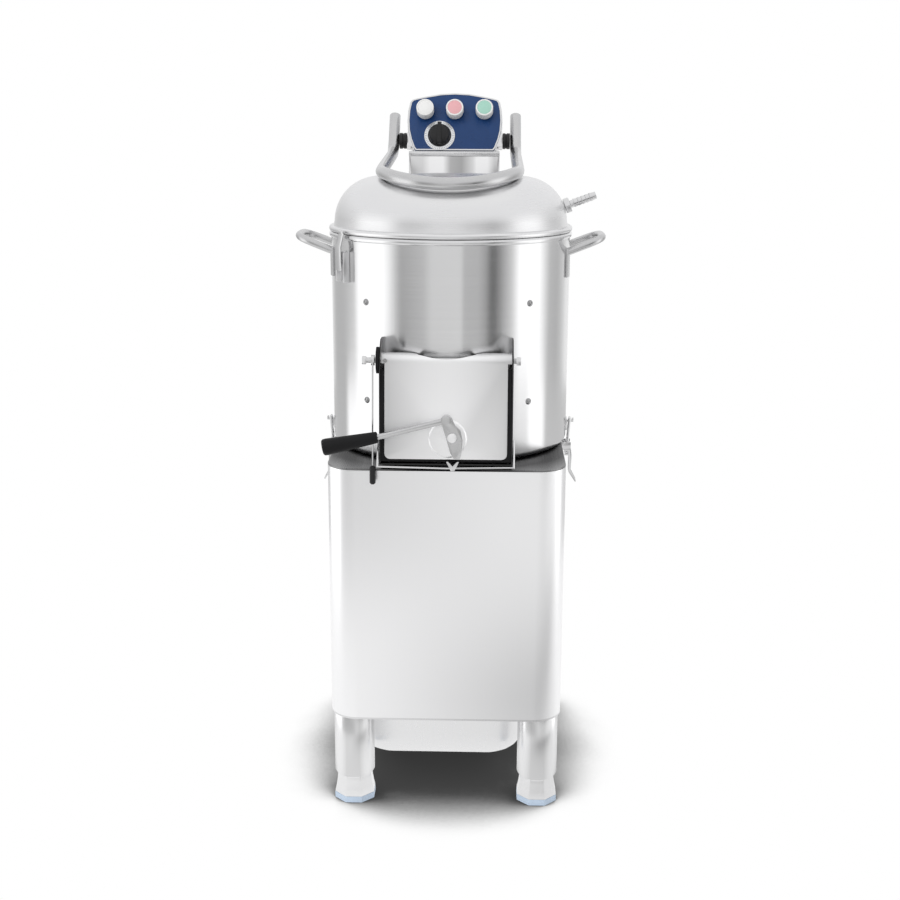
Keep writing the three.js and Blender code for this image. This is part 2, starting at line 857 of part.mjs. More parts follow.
add('drum_shell', drumShell(), 'satin_steel');
add('abrasive_liner', abrasiveLiner(), 'grit');

// Outlet: two cheeks and a sill stand on the drum. A door hangs between the cheeks on a rod.

function outletFrame() {
  const cheek = [
    [cheekRearY, cheekTop], [cheekShoulderY, cheekTop], [cheekLipY, cheekLipZ], [cheekFrontY, cheekBottom],
    [cheekRearY, cheekBottom],
  ];
  const right = extrudedX(cheek, cheekInner, cheekOuter);
  const left = extrudedX(cheek, -cheekOuter, -cheekInner);
  const sill = block(-cheekInner - cheekSheet * half, cheekInner + cheekSheet * half,
    cheekFrontY, cheekRearY, cheekBottom, cheekBottom + sillSheet);
  const reach = cheekOuter + overrun;
  const hole = moved(bar(rodRadius + fit, 2 * reach), -reach, hingeY, hingeZ, 0, 90 * deg);
  return cut(joined(right, left, sill), drumCutter, hole);
}

add('outlet_frame', outletFrame(), 'satin_steel');

// The door's own frame: origin on the rod's axis, -Y out of the panel, -Z down along it.
const door = new THREE.Group();
door.position.set(0, hingeY, hingeZ);
door.rotation.x = -doorTilt;
peeler.add(door);

// Height on the door, counted down the panel, of a point at a world height and a distance off the rod's axis.
function doorHeight(z, off) {
  return -(hingeZ - z + off * Math.sin(doorTilt)) / Math.cos(doorTilt);
}

const bossZ = doorHeight(bossHeight, doorFace);
const pivotLocalZ = doorHeight(pivotHeight, doorFace);

function doorPanel() {
  const outline = new THREE.Shape();
  outline.moveTo(doorHalfWidth, 0);
  outline.lineTo(-doorHalfWidth, 0);
  outline.absarc(-doorHalfWidth + doorCorner, -doorLength + doorCorner, doorCorner, 180 * deg, 270 * deg);
  outline.absarc(doorHalfWidth - doorCorner, -doorLength + doorCorner, doorCorner, 270 * deg, 360 * deg);
  const panel = extruded(outline, doorSheet, 2).rotateX(90 * deg).translate(0, -doorOffset, 0);
  const curlHalf = doorHalfWidth + curlOverlap;
  const section = [
    [-doorFace, -rodRadius], [-doorOffset, -rodRadius],
    ...arcPoints(0, 0, doorOffset, 180 * deg, 90 * deg, 5), [curlReach, doorOffset],
    [curlReach, doorFace], ...arcPoints(0, 0, doorFace, 90 * deg, 180 * deg, 5),
  ];
  const curl = extrudedX(section, -curlHalf, curlHalf);
  const reach = [[-curlHalf - overrun, drumRadius]];
  for (let i = 0; i <= curlSteps; i += 1) {
    const x = -curlHalf - overrun + (2 * (curlHalf + overrun) * i) / curlSteps;
    const free = -hingeY - Math.sqrt(drumRadius ** 2 - x ** 2) - running;
    reach.push([x, Math.sqrt(Math.max(free ** 2 - doorFace ** 2, 1))]);
  }
  reach.push([curlHalf + overrun, drumRadius]);
  const swing = extruded(shapeOf(reach), 2 * overrun).translate(0, 0, doorOffset - overrun);
  const dip = [[-curlDipHalf, 2 * doorFace]];
  for (let i = 0; i <= curlSteps; i += 1) {
    const share = (2 * i) / curlSteps - 1;
    const rise = (1 - Math.cos(180 * deg * share)) * half;
    dip.push([share * curlDipHalf, curlDipLevel + (doorFace - curlDipLevel) * rise]);
  }
  dip.push([curlDipHalf, 2 * doorFace]);
  const saddle = extrudedY(dip, -2 * doorFace, curlReach + overrun);
  const boss = turned([[0, 0], [bossRadius, 0], [bossRadius - bossProud, bossProud + doorSheet * half],
    [0, bossProud + doorSheet * half]], roundSides);
  const headBase = bossProud + leverSheet + 2 * fit + doorSheet * half;
  const pin = bar(pivotRadius, headBase + pivotHead, pinSides);
  const head = moved(bar(pivotHeadRadius, pivotHead, pinSides), 0, 0, headBase);
  const outward = (geometry, x, z) => moved(geometry, x, -doorFace + doorSheet * half, z, 90 * deg);
  return joined(cut(curl, swing, saddle), panel, outward(boss, bossX, bossZ),
    outward(pin, pivotX, pivotLocalZ), outward(head, pivotX, pivotLocalZ));
}

function hingeRod() {
  const along = (geometry, x) => moved(geometry, x, 0, 0, 0, 90 * deg);
  const nutLeft = along(bar(rodNutRadius, rodNut, 6), rodLeft);
  const nutRight = along(bar(rodNutRadius, rodNut, 6), rodRight - rodNut);
  const washer = along(bar(rodWasherRadius, rodWasher), -cheekOuter - fit - rodWasher);
  return joined(along(bar(rodRadius, rodRight - rodLeft, pinSides), rodLeft), nutLeft, nutRight, washer);
}

function doorSeal() {
  const outer = doorHalfWidth + curlOverlap;
  const bottom = -doorLength - sealReach;
  const ring = block(-outer, outer, -doorOffset + fit, sealInside, bottom, -sealTop);
  const inside = block(-outer + sealWidth, outer - sealWidth, -doorOffset - overrun, sealInside + overrun,
    bottom + sealWidth, overrun);
  return cut(ring, inside);
}

const magnetTop = doorHeight(magnetLevel + magnetLength * half, sensorOff);
const magnetBottom = doorHeight(magnetLevel - magnetLength * half, sensorOff);

function sensorArm() {
  const left = sensorX - sensorCollar * half;
  const along = (radius, length, x) => moved(bar(radius, length, pinSides), x, 0, 0, 0, 90 * deg);
  const collar = cut(along(sensorCollarRadius, sensorCollar, left),
    along(rodRadius + fit, sensorCollar + 2 * overrun, left - overrun));
  const root = (rodRadius + fit + sensorCollarRadius) * half;
  const lean = Math.abs(sensorOff - root) / -magnetTop;
  const arm = barBetween([sensorX, -sensorOff, magnetTop + fit + sensorArmRadius * lean],
    [sensorX, -root, -sensorArmRadius], sensorArmRadius);
  return joined(collar, arm);
}

function sensorMagnet() {
  const length = magnetTop - magnetBottom;
  const taper = magnetRadius * half;
  return moved(turned([[0, 0], [taper, 0], [magnetRadius, taper], [magnetRadius, length - taper],
    [taper, length], [0, length]], plateSides), sensorX, -sensorOff, magnetBottom);
}

add('door_panel', doorPanel(), 'satin_steel', door);
add('hinge_rod', hingeRod(), 'polished_steel', door);
add('door_seal', doorSeal(), 'black_rubber', door);
add('sensor_arm', sensorArm(), 'polished_steel', door);
add('sensor_magnet', sensorMagnet(), 'black_plastic', door);

// Latch: a cam plate on the door's pivot, a round lever arm and a tapered grip.

const hubZ = doorHeight(hubHeight, leverOffset);
const gripStartZ = doorHeight(gripStartHeight, armOff);
const gripEndZ = doorHeight(gripEndHeight, armOff);

function latchLever() {
  const outline = camShares.map(([x, z]) => [pivotX + x * camWidth, pivotLocalZ + z * camHeight]);
  const plate = extrudedY(outline, -leverOffset - leverSheet, -leverOffset);
  const outward = (geometry, x, z, off) => moved(geometry, x, -off, z, 90 * deg);
  const hub = outward(bar(hubRadius, leverSheet + hubProud, pinSides), hubX, hubZ, leverOffset);
  const flangeX = pivotX + camShares[6][0] * camWidth;
  const flange = block(flangeX - camFlangeSheet, flangeX, -leverOffset - leverSheet - camFlange, -leverOffset,
    pivotLocalZ + camShares[6][1] * camHeight, pivotLocalZ + camShares[5][1] * camHeight);
  const start = new THREE.Vector3(hubX, -armOff, hubZ);
  const grip = new THREE.Vector3(gripStartX, -armOff, gripStartZ);
  const way = new THREE.Vector3(gripEndX, -armOff, gripEndZ).sub(grip).normalize();
  const end = grip.clone().addScaledVector(way, gripBore - fit);
  const arm = bentBar([start.toArray(), grip.toArray(), end.toArray()], armRadius, plateSides);
  const bore = bar(pivotRadius + fit, 4 * overrun, pinSides);
  const hole = outward(bore, pivotX, pivotLocalZ, leverOffset - overrun);
  return cut(joined(plate, hub, flange, arm), hole);
}

function leverGrip() {
  const start = new THREE.Vector3(gripStartX, -armOff, gripStartZ);
  const end = new THREE.Vector3(gripEndX, -armOff, gripEndZ);
  const way = end.clone().sub(start).normalize();
  const length = start.distanceTo(end);
  const rim = gripLargeRadius - gripSmallRadius;
  const profile = closedTurned([
    [armRadius + fit, fit], [gripSmallRadius - rim * half, fit], [gripSmallRadius, rim],
    [gripLargeRadius, length - rim], [gripLargeRadius - rim * half, length], [0, length],
    [0, gripBore], [armRadius + fit, gripBore],
  ], pinSides);
  const turn = new THREE.Quaternion().setFromUnitVectors(new THREE.Vector3(0, 0, 1), way);
  return profile.applyQuaternion(turn).translate(start.x, start.y, start.z);
}

add('latch_lever', latchLever(), 'polished_steel', door);
add('lever_grip', leverGrip(), 'black_plastic', door);

// Wire bow on the cheeks, with the saddle that the cam's tip sits over.

function latchWire() {
  const x = cheekOuter + fit + wireRadius;
  const wire = bentBar([
    [-x, wireTopY, wireTopZ], [-x, wireFrontY, wireCornerZ],
    [-x * half, wireFrontY, wireCornerZ - wireSag * half], [0, wireFrontY, wireCornerZ - wireSag],
    [x * half, wireFrontY, wireCornerZ - wireSag * half],
    [x, wireFrontY, wireCornerZ], [x, wireTopY, wireTopZ],
  ], wireRadius);
  const w = saddleWidth;
  const horn = (half - saddleHornShare) * w;
  const saddle = extrudedY([
    [-half * w, saddleTop], [-horn, saddleTop], [0, saddleTop - saddleDip], [horn, saddleTop],
    [half * w, saddleTop],
    [saddleFootShare * half * w, saddleBottom], [-saddleFootShare * half * w, saddleBottom],
  ], wireFrontY - saddleDepth * half, wireFrontY + saddleDepth * half);
  return joined(wire, moved(saddle, saddleX, 0, 0));
}

add('latch_wire', latchWire(), 'polished_steel');

// Side handles: a bent tube loop on two straps.

function sideHandle() {
  const rootX = Math.sqrt(drumRadius ** 2 - handleHalf ** 2) - fit;
  const run = handleReachX - rootX;
  const rise = handleTipZ - handleRootZ;
  const at = (share, y) => [rootX + run * share, y, handleRootZ + rise * share];
  const corner = handleHalf * handleCornerShare;
  const widths = [
    handleHalf, handleHalf, handleHalf, (handleHalf + corner) * half, corner * handleCornerShare,
  ];
  const near = widths.map((y, i) => at(handleShares[i], y));
  const far = widths.map((y, i) => at(handleShares[i], -y)).reverse();
  const tip = handleShares[handleShares.length - 1];
  const tube = curvedTube([...near, at(tip, 0), ...far].reverse(), handleRadius, handleSteps, tubeSides);
  const turn = Math.asin(handleHalf / drumRadius);
  const straps = [1, -1].map((side) => {
    const plate = block(-overrun, strapSheet + fit, -strapWidth * half, strapWidth * half,
      strapBottom, handleRootZ + handleRadius);
    const [x, y] = [drumRadius * Math.cos(turn), side * drumRadius * Math.sin(turn)];
    return moved(plate, x, y, 0, 0, 0, side * turn);
  });
  return cut(joined(tube, ...straps), drumCutter);
}

add('handle_right', sideHandle(), 'polished_steel');
add('handle_left', mirrored(sideHandle()), 'polished_steel');

// Lid catch at the front left: a channel on the drum and a hasp that hangs from the lid's bead.

function lidKeeper() {
  const inner = drumRadius * Math.cos(Math.asin((keeperWidth * half) / drumRadius));
  const deep = drumRadius + keeperDepth;
  const outer = block(inner - overrun, deep, -keeperWidth * half, keeperWidth * half,
    keeperBottom, keeperTop);
  const slot = block(drumRadius + keeperSheet, deep + overrun, -keeperWidth * half + keeperSheet,
    keeperWidth * half - keeperSheet, keeperBottom - overrun, keeperTop + overrun);
  const turn = catchTurn - 90 * deg;
  return cut(moved(cut(outer, slot), 0, 0, 0, 0, 0, turn), drumCutter);
}

function lidHasp() {
  const x = drumRadius + lidBeadOut + fit + haspPinRadius;
  const barrel = moved(bar(haspPinRadius, haspWidth, plateSides), x, haspWidth * half, haspPinZ, 90 * deg);
  const face = drumRadius + keeperDepth + haspGap;
  const plate = extrudedY([
    [x - haspSheet * half, haspPinZ], [x + haspSheet * half, haspPinZ],
    [face + haspSheet, keeperTop + keeperNotch], [face + haspSheet, haspBottom],
    [face, haspBottom], [face, keeperTop + keeperNotch],
  ], -haspWidth * half, haspWidth * half);
  return moved(joined(barrel, plate), 0, 0, 0, 0, 0, catchTurn - 90 * deg);
}

add('lid_keeper', lidKeeper(), 'satin_steel');
add('lid_hasp', lidHasp(), 'polished_steel');

// Toggle clamps at both sides pull the drum down on the deck.

function clampKeeper() {
  const shelfTop = clampRodTop - clampRodRadius - fit;
  const lipX = clampHookX + hookGroove;
  const plate = block(drumRadius - overrun, drumRadius + keeperPlateSheet + fit,
    -keeperPlateHalf, keeperPlateHalf, keeperPlateBottom, shelfTop + hookLip);
  const shelf = block(drumRadius - overrun, lipX + hookLipSheet, -hookHalf, hookHalf,
    shelfTop - hookSheet, shelfTop);
  const lip = block(lipX, lipX + hookLipSheet, -hookHalf, hookHalf, shelfTop - hookSheet, shelfTop + hookLip);
  return cut(joined(plate, shelf, lip), drumCutter);
}

function clampBase() {
  const wall = cabinetWidth * half + fit;
  const plate = block(wall, wall + clampBaseSheet, -clampBaseHalf, clampBaseHalf,
    clampBaseBottom, clampBaseTop);
  const earInner = clampBaseHalf - clampEarSheet;
  const ears = [earInner, -clampBaseHalf].map((y) => block(wall, clampPivotX + clampEarReach,
    y, y + clampEarSheet, clampPivotZ - clampEarReach, clampBaseTop));
  const stubs = [1, -1].map((side) => {
    const inner = clampLeverHalf - clampLeverSheet + fit;
    return barBetween([clampPivotX, side * inner, clampPivotZ],
      [clampPivotX, side * (clampBaseHalf - clampEarSheet * half), clampPivotZ], clampStubRadius, plateSides);
  });
  return joined(plate, ...ears, ...stubs);
}

function clampLever() {
  const inner = clampLeverHalf - clampLeverSheet;
  const rim = clampStubRadius + 2 * clampLeverSheet * half;
  const low = clampPivotZ - clampThrow - rim;
  const back = clampPivotX - rim;
  const front = clampPivotX + rim;
  const cheek = [
    [back, clampPivotZ], [clampPivotX, clampPivotZ + rim], [front, clampPivotZ],
    [front + clampLeverSheet, low], [front, clampTailZ], [front - clampLeverSheet, clampTailZ],
    [front - clampLeverSheet, low], [back, low],
  ];
  const cheeks = [1, -1].map((side) => (side > 0 ? extrudedY(cheek, inner, clampLeverHalf)
    : extrudedY(cheek, -clampLeverHalf, -inner)));
  const web = extrudedY([
    [front, low], [front + clampLeverSheet, low], [front + clampLeverSheet * half, clampTailZ],
    [clampTipX, clampTipZ], [clampTipX - clampLeverSheet * half, clampTipZ - clampLeverSheet],
    [front - clampLeverSheet, clampTailZ - clampLeverSheet],
  ], -clampLeverHalf, clampLeverHalf);
  const pivot = barBetween([clampPivotX, -2 * clampLeverHalf, clampPivotZ],
    [clampPivotX, 2 * clampLeverHalf, clampPivotZ], clampStubRadius + fit, plateSides);
  const [pinX, pinZ] = [clampPivotX - clampOver, clampPivotZ - clampThrow];
  const pin = barBetween([pinX, -2 * clampLeverHalf, pinZ],
    [pinX, 2 * clampLeverHalf, pinZ], clampRodRadius + fit, plateSides);
  return cut(joined(...cheeks, web), pivot, pin);
}

function clampRod() {
  const x = clampPivotX - clampOver;
  const z = clampPivotZ - clampThrow;
  const end = clampLeverHalf - fit;
  return bentBar([
    [x, -end, z], [x, -clampRodHalf, z], [clampHookX, -clampRodHalf, clampRodTop],
    [clampHookX, clampRodHalf, clampRodTop], [x, clampRodHalf, z], [x, end, z],
  ], clampRodRadius);
}

add('clamp_keeper_right', clampKeeper(), 'satin_steel');
add('clamp_keeper_left', mirrored(clampKeeper()), 'satin_steel');
add('clamp_base_right', clampBase(), 'satin_steel');
add('clamp_base_left', mirrored(clampBase()), 'satin_steel');
add('clamp_lever_right', clampLever(), 'polished_steel');
add('clamp_lever_left', mirrored(clampLever()), 'polished_steel');
add('clamp_rod_right', clampRod(), 'polished_steel');
add('clamp_rod_left', mirrored(clampRod()), 'polished_steel');

// Lid: a spun dome with a bead that rests on the drum's bead.

function domeHeightAt(radius) {
  if (radius <= crownRadius) return domeTop - lidCrown * (radius / crownRadius) ** 2;
  return domeBase + Math.sqrt(lidKnuckle ** 2 - (radius - crownRadius) ** 2);
}

function lidDome() {
  const bevel = lidSheet * half;
  const inner = lidRadius - lidSheet;
  const crownMiddle = crownRadius * half;
  return closedTurned([
    [inner, lidBase], [lidBeadRadius - bevel, lidBase], [lidBeadRadius, lidBase + bevel],
    [lidBeadRadius, lidBase + lidBead - bevel], [lidBeadRadius - bevel, lidBase + lidBead],
    [lidRadius, lidBase + lidBead],
    ...arcPoints(crownRadius, domeBase, lidKnuckle, 0, 90 * deg, 6),
    [crownMiddle, domeHeightAt(crownMiddle)], [0, domeTop], [0, domeTop - lidSheet],
    [crownMiddle, domeHeightAt(crownMiddle) - lidSheet],
    ...arcPoints(crownRadius, domeBase, lidKnuckle - lidSheet, 90 * deg, 0, 4),
  ], drumSides);
}

function yokeHandle() {
  const sideRadius = Math.hypot(yokeHalfWidth, yokeFrontY);
  const slope = Math.asin((sideRadius - crownRadius) / lidKnuckle);
  const sideZ = domeHeightAt(sideRadius) + (yokeRadius + fit) / Math.cos(slope);
  const right = [
    [postTopY, postTopZ],
    [(postTopY + pivotY) * half, (postTopZ + pivotZ) * half],
    [pivotY, pivotZ],
    [pivotY - (pivotY - heelY) * half, heelZ + (pivotZ - heelZ) * heelShare],
    [heelY, heelZ],
  ].map(([y, z]) => [yokeHalfWidth, y, z]);
  yokeShares.forEach((share) => {
    right.push([yokeHalfWidth, heelY + (yokeFrontY - heelY) * share, heelZ + (sideZ - heelZ) * share]);
  });
  const bend = [];
  for (let i = 0; i <= yokeBends; i += 1) {
    const turn = (i / yokeBends) * 180 * deg;
    bend.push([yokeHalfWidth * Math.cos(turn), yokeFrontY - yokeHalfWidth * Math.sin(turn),
      sideZ - yokeFrontSag * Math.sin(turn) ** 2]);
  }
  const left = right.map(([x, y, z]) => [-x, y, z]).reverse();
  const tube = curvedTube([...right, ...bend, ...left], yokeRadius, yokeSteps, yokeSides);
  const pinHoles = [1, -1].map((side) => barBetween(
    [side * (yokeHalfWidth - 2 * yokeRadius), pivotY, pivotZ],
    [side * (yokeHalfWidth + fit), pivotY, pivotZ], pivotPinRadius + fit, plateSides));
  return cut(tube, ...pinHoles);
}

function lidSpout() {
  const barb = spoutRadius * spoutBarbShare;
  const step = spoutLength * spoutStepShare;
  const profile = [[0, 0], [spoutNutRadius, 0], [spoutNutRadius, spoutNut], [spoutRadius - barb, spoutNut]];
  spoutBarbs.forEach((i) => {
    const z = spoutNut + (spoutLength - spoutNut) * (i / spoutPitch);
    profile.push([spoutRadius, z - step], [spoutRadius - barb, z + step]);
  });
  profile.push([spoutRadius - barb, spoutLength], [spoutBore, spoutLength], [spoutBore, spoutNut * half],
    [0, spoutNut * half]);
  const tail = turned(profile, plateSides);
  const tipX = crownRadius + (lidKnuckle + fit) * Math.cos(spoutRise);
  const tipZ = domeBase + (lidKnuckle + fit) * Math.sin(spoutRise);
  return moved(tail, tipX, 0, tipZ, 0, 90 * deg - spoutRise);
}

add('lid_dome', lidDome(), 'satin_steel');
add('yoke_handle', yokeHandle(), 'polished_steel');
add('lid_spout', lidSpout(), 'polished_steel');

// Rear column and control head. The head's own frame leans back: -Y out of the fascia, Z up along it.

function rearColumn() {
  const y = columnFrontY + columnDepth * half;
  const height = columnTop - deckTop;
  const outer = extruded(roundedShape(columnWidth, columnDepth, columnWall * 2), height, 1);
  const inner = extruded(
    roundedShape(columnWidth - 2 * columnWall, columnDepth - 2 * columnWall, columnWall),
    height + 2 * overrun, 1);
  return cut(moved(outer, 0, y, deckTop), moved(inner, 0, y, deckTop - overrun));
}

const head = new THREE.Group();
head.position.set(0, headY, headZ);
head.rotation.x = -headLean;
peeler.add(head);
head.updateMatrixWorld(true);

function fasciaOutline(grow) {
  const right = fasciaShares.map(([x, z]) => [x * (fasciaHalfWidth + grow), z * (fasciaHalfHeight + grow)]);
  const left = right.slice(1).map(([x, z]) => [-x, z]).reverse();
  return [...right, ...left];
}

function headHousing() {
  const toHead = new THREE.Matrix4().copy(head.matrix).invert();
  const front = fasciaSheet + fit;
  const outer = extrudedY(fasciaOutline(housingRim), front, front + housingDepth);
  const inner = extrudedY(fasciaOutline(housingRim - housingWall), front - overrun,
    front + housingDepth - housingWall);
  const wide = 2 * fasciaHalfWidth;
  const inFront = (y) => block(-wide, wide, -wide, y, headZ - wide, headZ + wide).applyMatrix4(toHead);
  const seat = columnTop + fit;
  const collar = block(-columnWidth * half, columnWidth * half, columnFrontY, columnFrontY + columnDepth,
    seat, seat + collarHeight).applyMatrix4(toHead);
  const pinLevel = seat + collarHeight * half;
  const pins = collarPins.map((x) => barBetween([x, columnFrontY - collarPinRadius, pinLevel],
    [x, columnFrontY + collarPinRadius, pinLevel], collarPinRadius).applyMatrix4(toHead));
  const bosses = [1, -1].map((side) => barBetween([side * bushingBossX * bushingBossShare, pivotY, pivotZ],
    [side * bushingBossX, pivotY, pivotZ], bushingBossRadius, roundSides).applyMatrix4(toHead));
  const shell = cut(common(outer, inFront(housingBackY)), common(inner, inFront(housingBackY - housingWall)));
  const fasciaSpace = block(-wide, wide, -overrun * 4, front, -fasciaHalfHeight - housingRim, wide);
  return cut(joined(shell, collar, ...pins, ...bosses), fasciaSpace);
}

function headFascia() {
  const plate = extrudedY(fasciaOutline(0), 0, fasciaSheet);
  const back = overrun + fasciaSheet;
  const through = (radius, x, z) => barBetween([x, -overrun, z], [x, back, z], radius, roundSides);
  const stem = buttonStemRadius + fit;
  const holes = [-1, 0, 1].map((place) => through(stem, place * buttonSpacing, buttonHeight));
  return cut(plate, ...holes, through(knobStemRadius + fit, knobX, knobHeight));
}

function facing(profile, x, z) {
  return moved(profile, x, 0, z, 90 * deg);
}

function button() {
  const edge = buttonStemIn;
  return turned([[0, -buttonStemIn], [buttonStemRadius, -buttonStemIn], [buttonStemRadius, buttonLift],
    [buttonRadius, buttonLift], [buttonRadius, buttonProud - edge], [buttonRadius - edge, buttonProud],
    [0, buttonProud]]);
}

function dialRing() {
  return closedTurned([[knobStemRadius + fit, fit], [dialRadius, fit], [dialRadius, fit + dialSheet],
    [knobStemRadius + fit, fit + dialSheet]], pulleySides);
}

function timerKnob() {
  const base = 2 * fit + dialSheet;
  const body = turned([[0, -buttonStemIn], [knobStemRadius, -buttonStemIn], [knobStemRadius, base],
    [knobRadius, base], [knobRadius - knobRidge * half, base + knobDepth * half],
    [knobRadius * knobTopShare, base + knobDepth], [0, base + knobDepth]]);
  const reach = knobRadius * knobRidgeShare;
  const ridge = block(-knobRidge, knobRidge, -reach, reach, base + knobRidge,
    base + knobDepth + knobRidge * half);
  return joined(body, ridge);
}

add('rear_column', rearColumn(), 'satin_steel');
add('head_housing', headHousing(), 'satin_steel', head);
add('head_fascia', headFascia(), 'blue_paint', head);
add('dial_ring', facing(dialRing(), knobX, knobHeight), 'pale_metal', head);
add('timer_knob', facing(timerKnob(), knobX, knobHeight), 'black_plastic', head);
['left', 'middle', 'right'].forEach((place, i) => {
  const mesh = add(`button_${place}`, facing(button(), 0, 0), 'white_plastic', head);
  mesh.position.set((i - 1) * buttonSpacing, 0, buttonHeight);
});

function pivotBushing() {
  const start = bushingBossX + fit;
  const end = yokeHalfWidth - yokeRadius - fit;
  const collar = barBetween([start, pivotY, pivotZ], [end, pivotY, pivotZ], bushingRadius, roundSides);
  const pin = barBetween([end - fit, pivotY, pivotZ], [yokeHalfWidth - fit, pivotY, pivotZ],
    pivotPinRadius, plateSides);
  return joined(collar, pin);
}

add('pivot_bushing_right', pivotBushing(), 'black_plastic');
add('pivot_bushing_left', mirrored(pivotBushing()), 'black_plastic');

// Drive: disc, shaft, bearing, pulleys, belt and motor.

function abrasiveDisc() {
  const rings = [];
  const radii = discShares.map((share) => share * discRadius);
  const ring = (radius, height) => {
    const points = [];
    for (let i = 0; i < discSides; i += 1) {
      const turn = (i / discSides) * 360 * deg;
      const z = discBottom + height(turn, radius);
      points.push(new THREE.Vector3(radius * Math.cos(turn), radius * Math.sin(turn), z));
    }
    return points;
  };
  rings.push(ring(radii[0], () => 0), ring(discRadius, () => 0));
  radii.slice().reverse().forEach((radius) => {
    const wave = discWave * half * (radius / discRadius) ** 2 * (radius < discRadius ? 1 : discRimShare);
    rings.push(ring(radius, (turn) => discSheet + wave * (1 + Math.cos(discWaves * turn))));
  });
  return loft(rings);
}

function driveShaft() {
  return moved(bar(shaftRadius, discBottom - fit - pulleyTop + pulleyWidth), 0, 0, pulleyTop - pulleyWidth);
}

function bearingHousing() {
  const top = cabinetTop - fit;
  return closedTurned([
    [shaftRadius + fit, top - bearingLength], [bearingRadius, top - bearingLength],
    [bearingRadius, top - bearingFlangeSheet], [bearingFlange, top - bearingFlangeSheet],
    [bearingFlange, top], [shaftRadius + fit, top],
  ]);
}

function largePulley() {
  const bottom = pulleyTop - pulleyWidth;
  const web = pulleyWidth * pulleyWebShare;
  const hub = 2 * shaftRadius;
  const rim = pulleyRadius * pulleyRimShare;
  return closedTurned([
    [shaftRadius + fit, bottom], [hub, bottom], [hub, bottom + web], [rim, bottom + web], [rim, bottom],
    [pulleyRadius, bottom], [pulleyRadius, pulleyTop], [rim, pulleyTop], [rim, pulleyTop - web],
    [hub, pulleyTop - web], [hub, pulleyTop], [shaftRadius + fit, pulleyTop],
  ], pulleySides);
}

function motorPulley() {
  const bottom = pulleyTop - pulleyWidth;
  const top = motorBase + motorRadius * half;
  return turned([[0, bottom], [motorPulleyRadius, bottom], [motorPulleyRadius, pulleyTop],
    [motorShaftRadius, pulleyTop], [motorShaftRadius, top], [0, top]]);
}

function motor() {
  const top = motorBase + motorLength;
  const bell = motorRadius * motorBellShare;
  const bore = motorBase + motorRadius * half + fit;
  return turned([[0, bore], [motorShaftRadius + fit, bore], [motorShaftRadius + fit, motorBase],
    [motorRadius - bell, motorBase], [motorRadius, motorBase + bell], [motorRadius, top - bell],
    [motorRadius - 2 * bell, top], [0, top]]);
}

function motorBracket() {
  const inside = motorRadius + bearingFlangeSheet;
  const outside = inside + legWall;
  const top = cabinetTop - fit;
  const plateTop = motorBase - fit;
  const depth = motorRadius * bracketShare;
  const wide = outside + depth * half;
  const plate = block(-outside, outside, -depth, depth, plateTop - motorPlate, plateTop);
  const straps = [inside, -outside].map((x) => block(x, x + legWall, -depth, depth,
    plateTop - motorPlate, top));
  const ledges = [inside, -wide].map((x) => block(x, x + wide - inside, -depth, depth,
    top - legWall, top));
  const bore = bar(2 * motorShaftRadius, motorPlate + 2 * overrun);
  const hole = moved(bore, 0, 0, plateTop - motorPlate - overrun);
  return cut(joined(plate, ...straps, ...ledges), hole);
}

function driveBelt() {
  const loop = (grow) => {
    const points = [];
    const turn = Math.acos((pulleyRadius - motorPulleyRadius) / motorY);
    const arc = (radius, y, from, to, steps) => {
      for (let i = 0; i <= steps; i += 1) {
        const a = from + ((to - from) * i) / steps;
        points.push([radius * Math.cos(a), y + radius * Math.sin(a)]);
      }
    };
    // Tangent spans leave each pulley where its radius stands at this turn from the line of centres.
    const facet = 180 * deg / (2 * beltTurns);
    const facetSmall = 180 * deg / (2 * beltTurnsSmall);
    arc((pulleyRadius + grow) / Math.cos(facet), 0, 90 * deg + turn, 450 * deg - turn, beltTurns);
    arc((motorPulleyRadius + grow) / Math.cos(facetSmall), motorY, 90 * deg - turn, 90 * deg + turn,
      beltTurnsSmall);
    return points;
  };
  const z = pulleyTop - pulleyWidth + (pulleyWidth - beltWidth) * half;
  const outer = extruded(shapeOf(loop(fit + beltSheet)), beltWidth).translate(0, 0, z);
  const inner = extruded(shapeOf(loop(fit)), beltWidth + 2 * overrun).translate(0, 0, z - overrun);
  return cut(outer, inner);
}

add('abrasive_disc', abrasiveDisc(), 'grit');
add('drive_shaft', driveShaft(), 'cast_metal');
add('bearing_housing', bearingHousing(), 'cast_metal');
add('large_pulley', largePulley(), 'cast_metal');
[['motor_pulley', motorPulley(), 'cast_metal'], ['motor', motor(), 'motor_paint'],
  ['motor_bracket', motorBracket(), 'dark_steel']].forEach(([name, geometry, material]) => {
  add(name, geometry, material).position.set(0, motorY, 0);
});
add('drive_belt', driveBelt(), 'black_rubber');

// Drain pipe from the drum's floor down to the pan, and the gland of the mains lead.

function drainPipe() {
  const bottom = panSeat + panSheet + 2 * running;
  const top = drumBase - fit;
  return closedTurned([[drainRadius - drainWall, bottom], [drainRadius, bottom], [drainRadius, top],
    [drainRadius - drainWall, top]]);
}

function cableGland() {
  const nut = glandLength * glandNutShare;
  const neck = glandRadius * glandNeckShare;
  const cap = turned([[0, 0], [glandRadius, 0], [glandRadius, nut], [neck, nut],
    [neck, glandLength * glandNeckShare], [glandBore * glandLipShare, glandLength], [glandBore, glandLength],
    [glandBore, nut], [0, nut]], plateSides);
  return moved(cap, glandX, cabinetDepth * half + fit, glandZ, -90 * deg);
}

add('drain_pipe', drainPipe(), 'satin_steel').position.set(drainX, 0, 0);
add('cable_gland', cableGland(), 'black_rubber');

export default peeler;
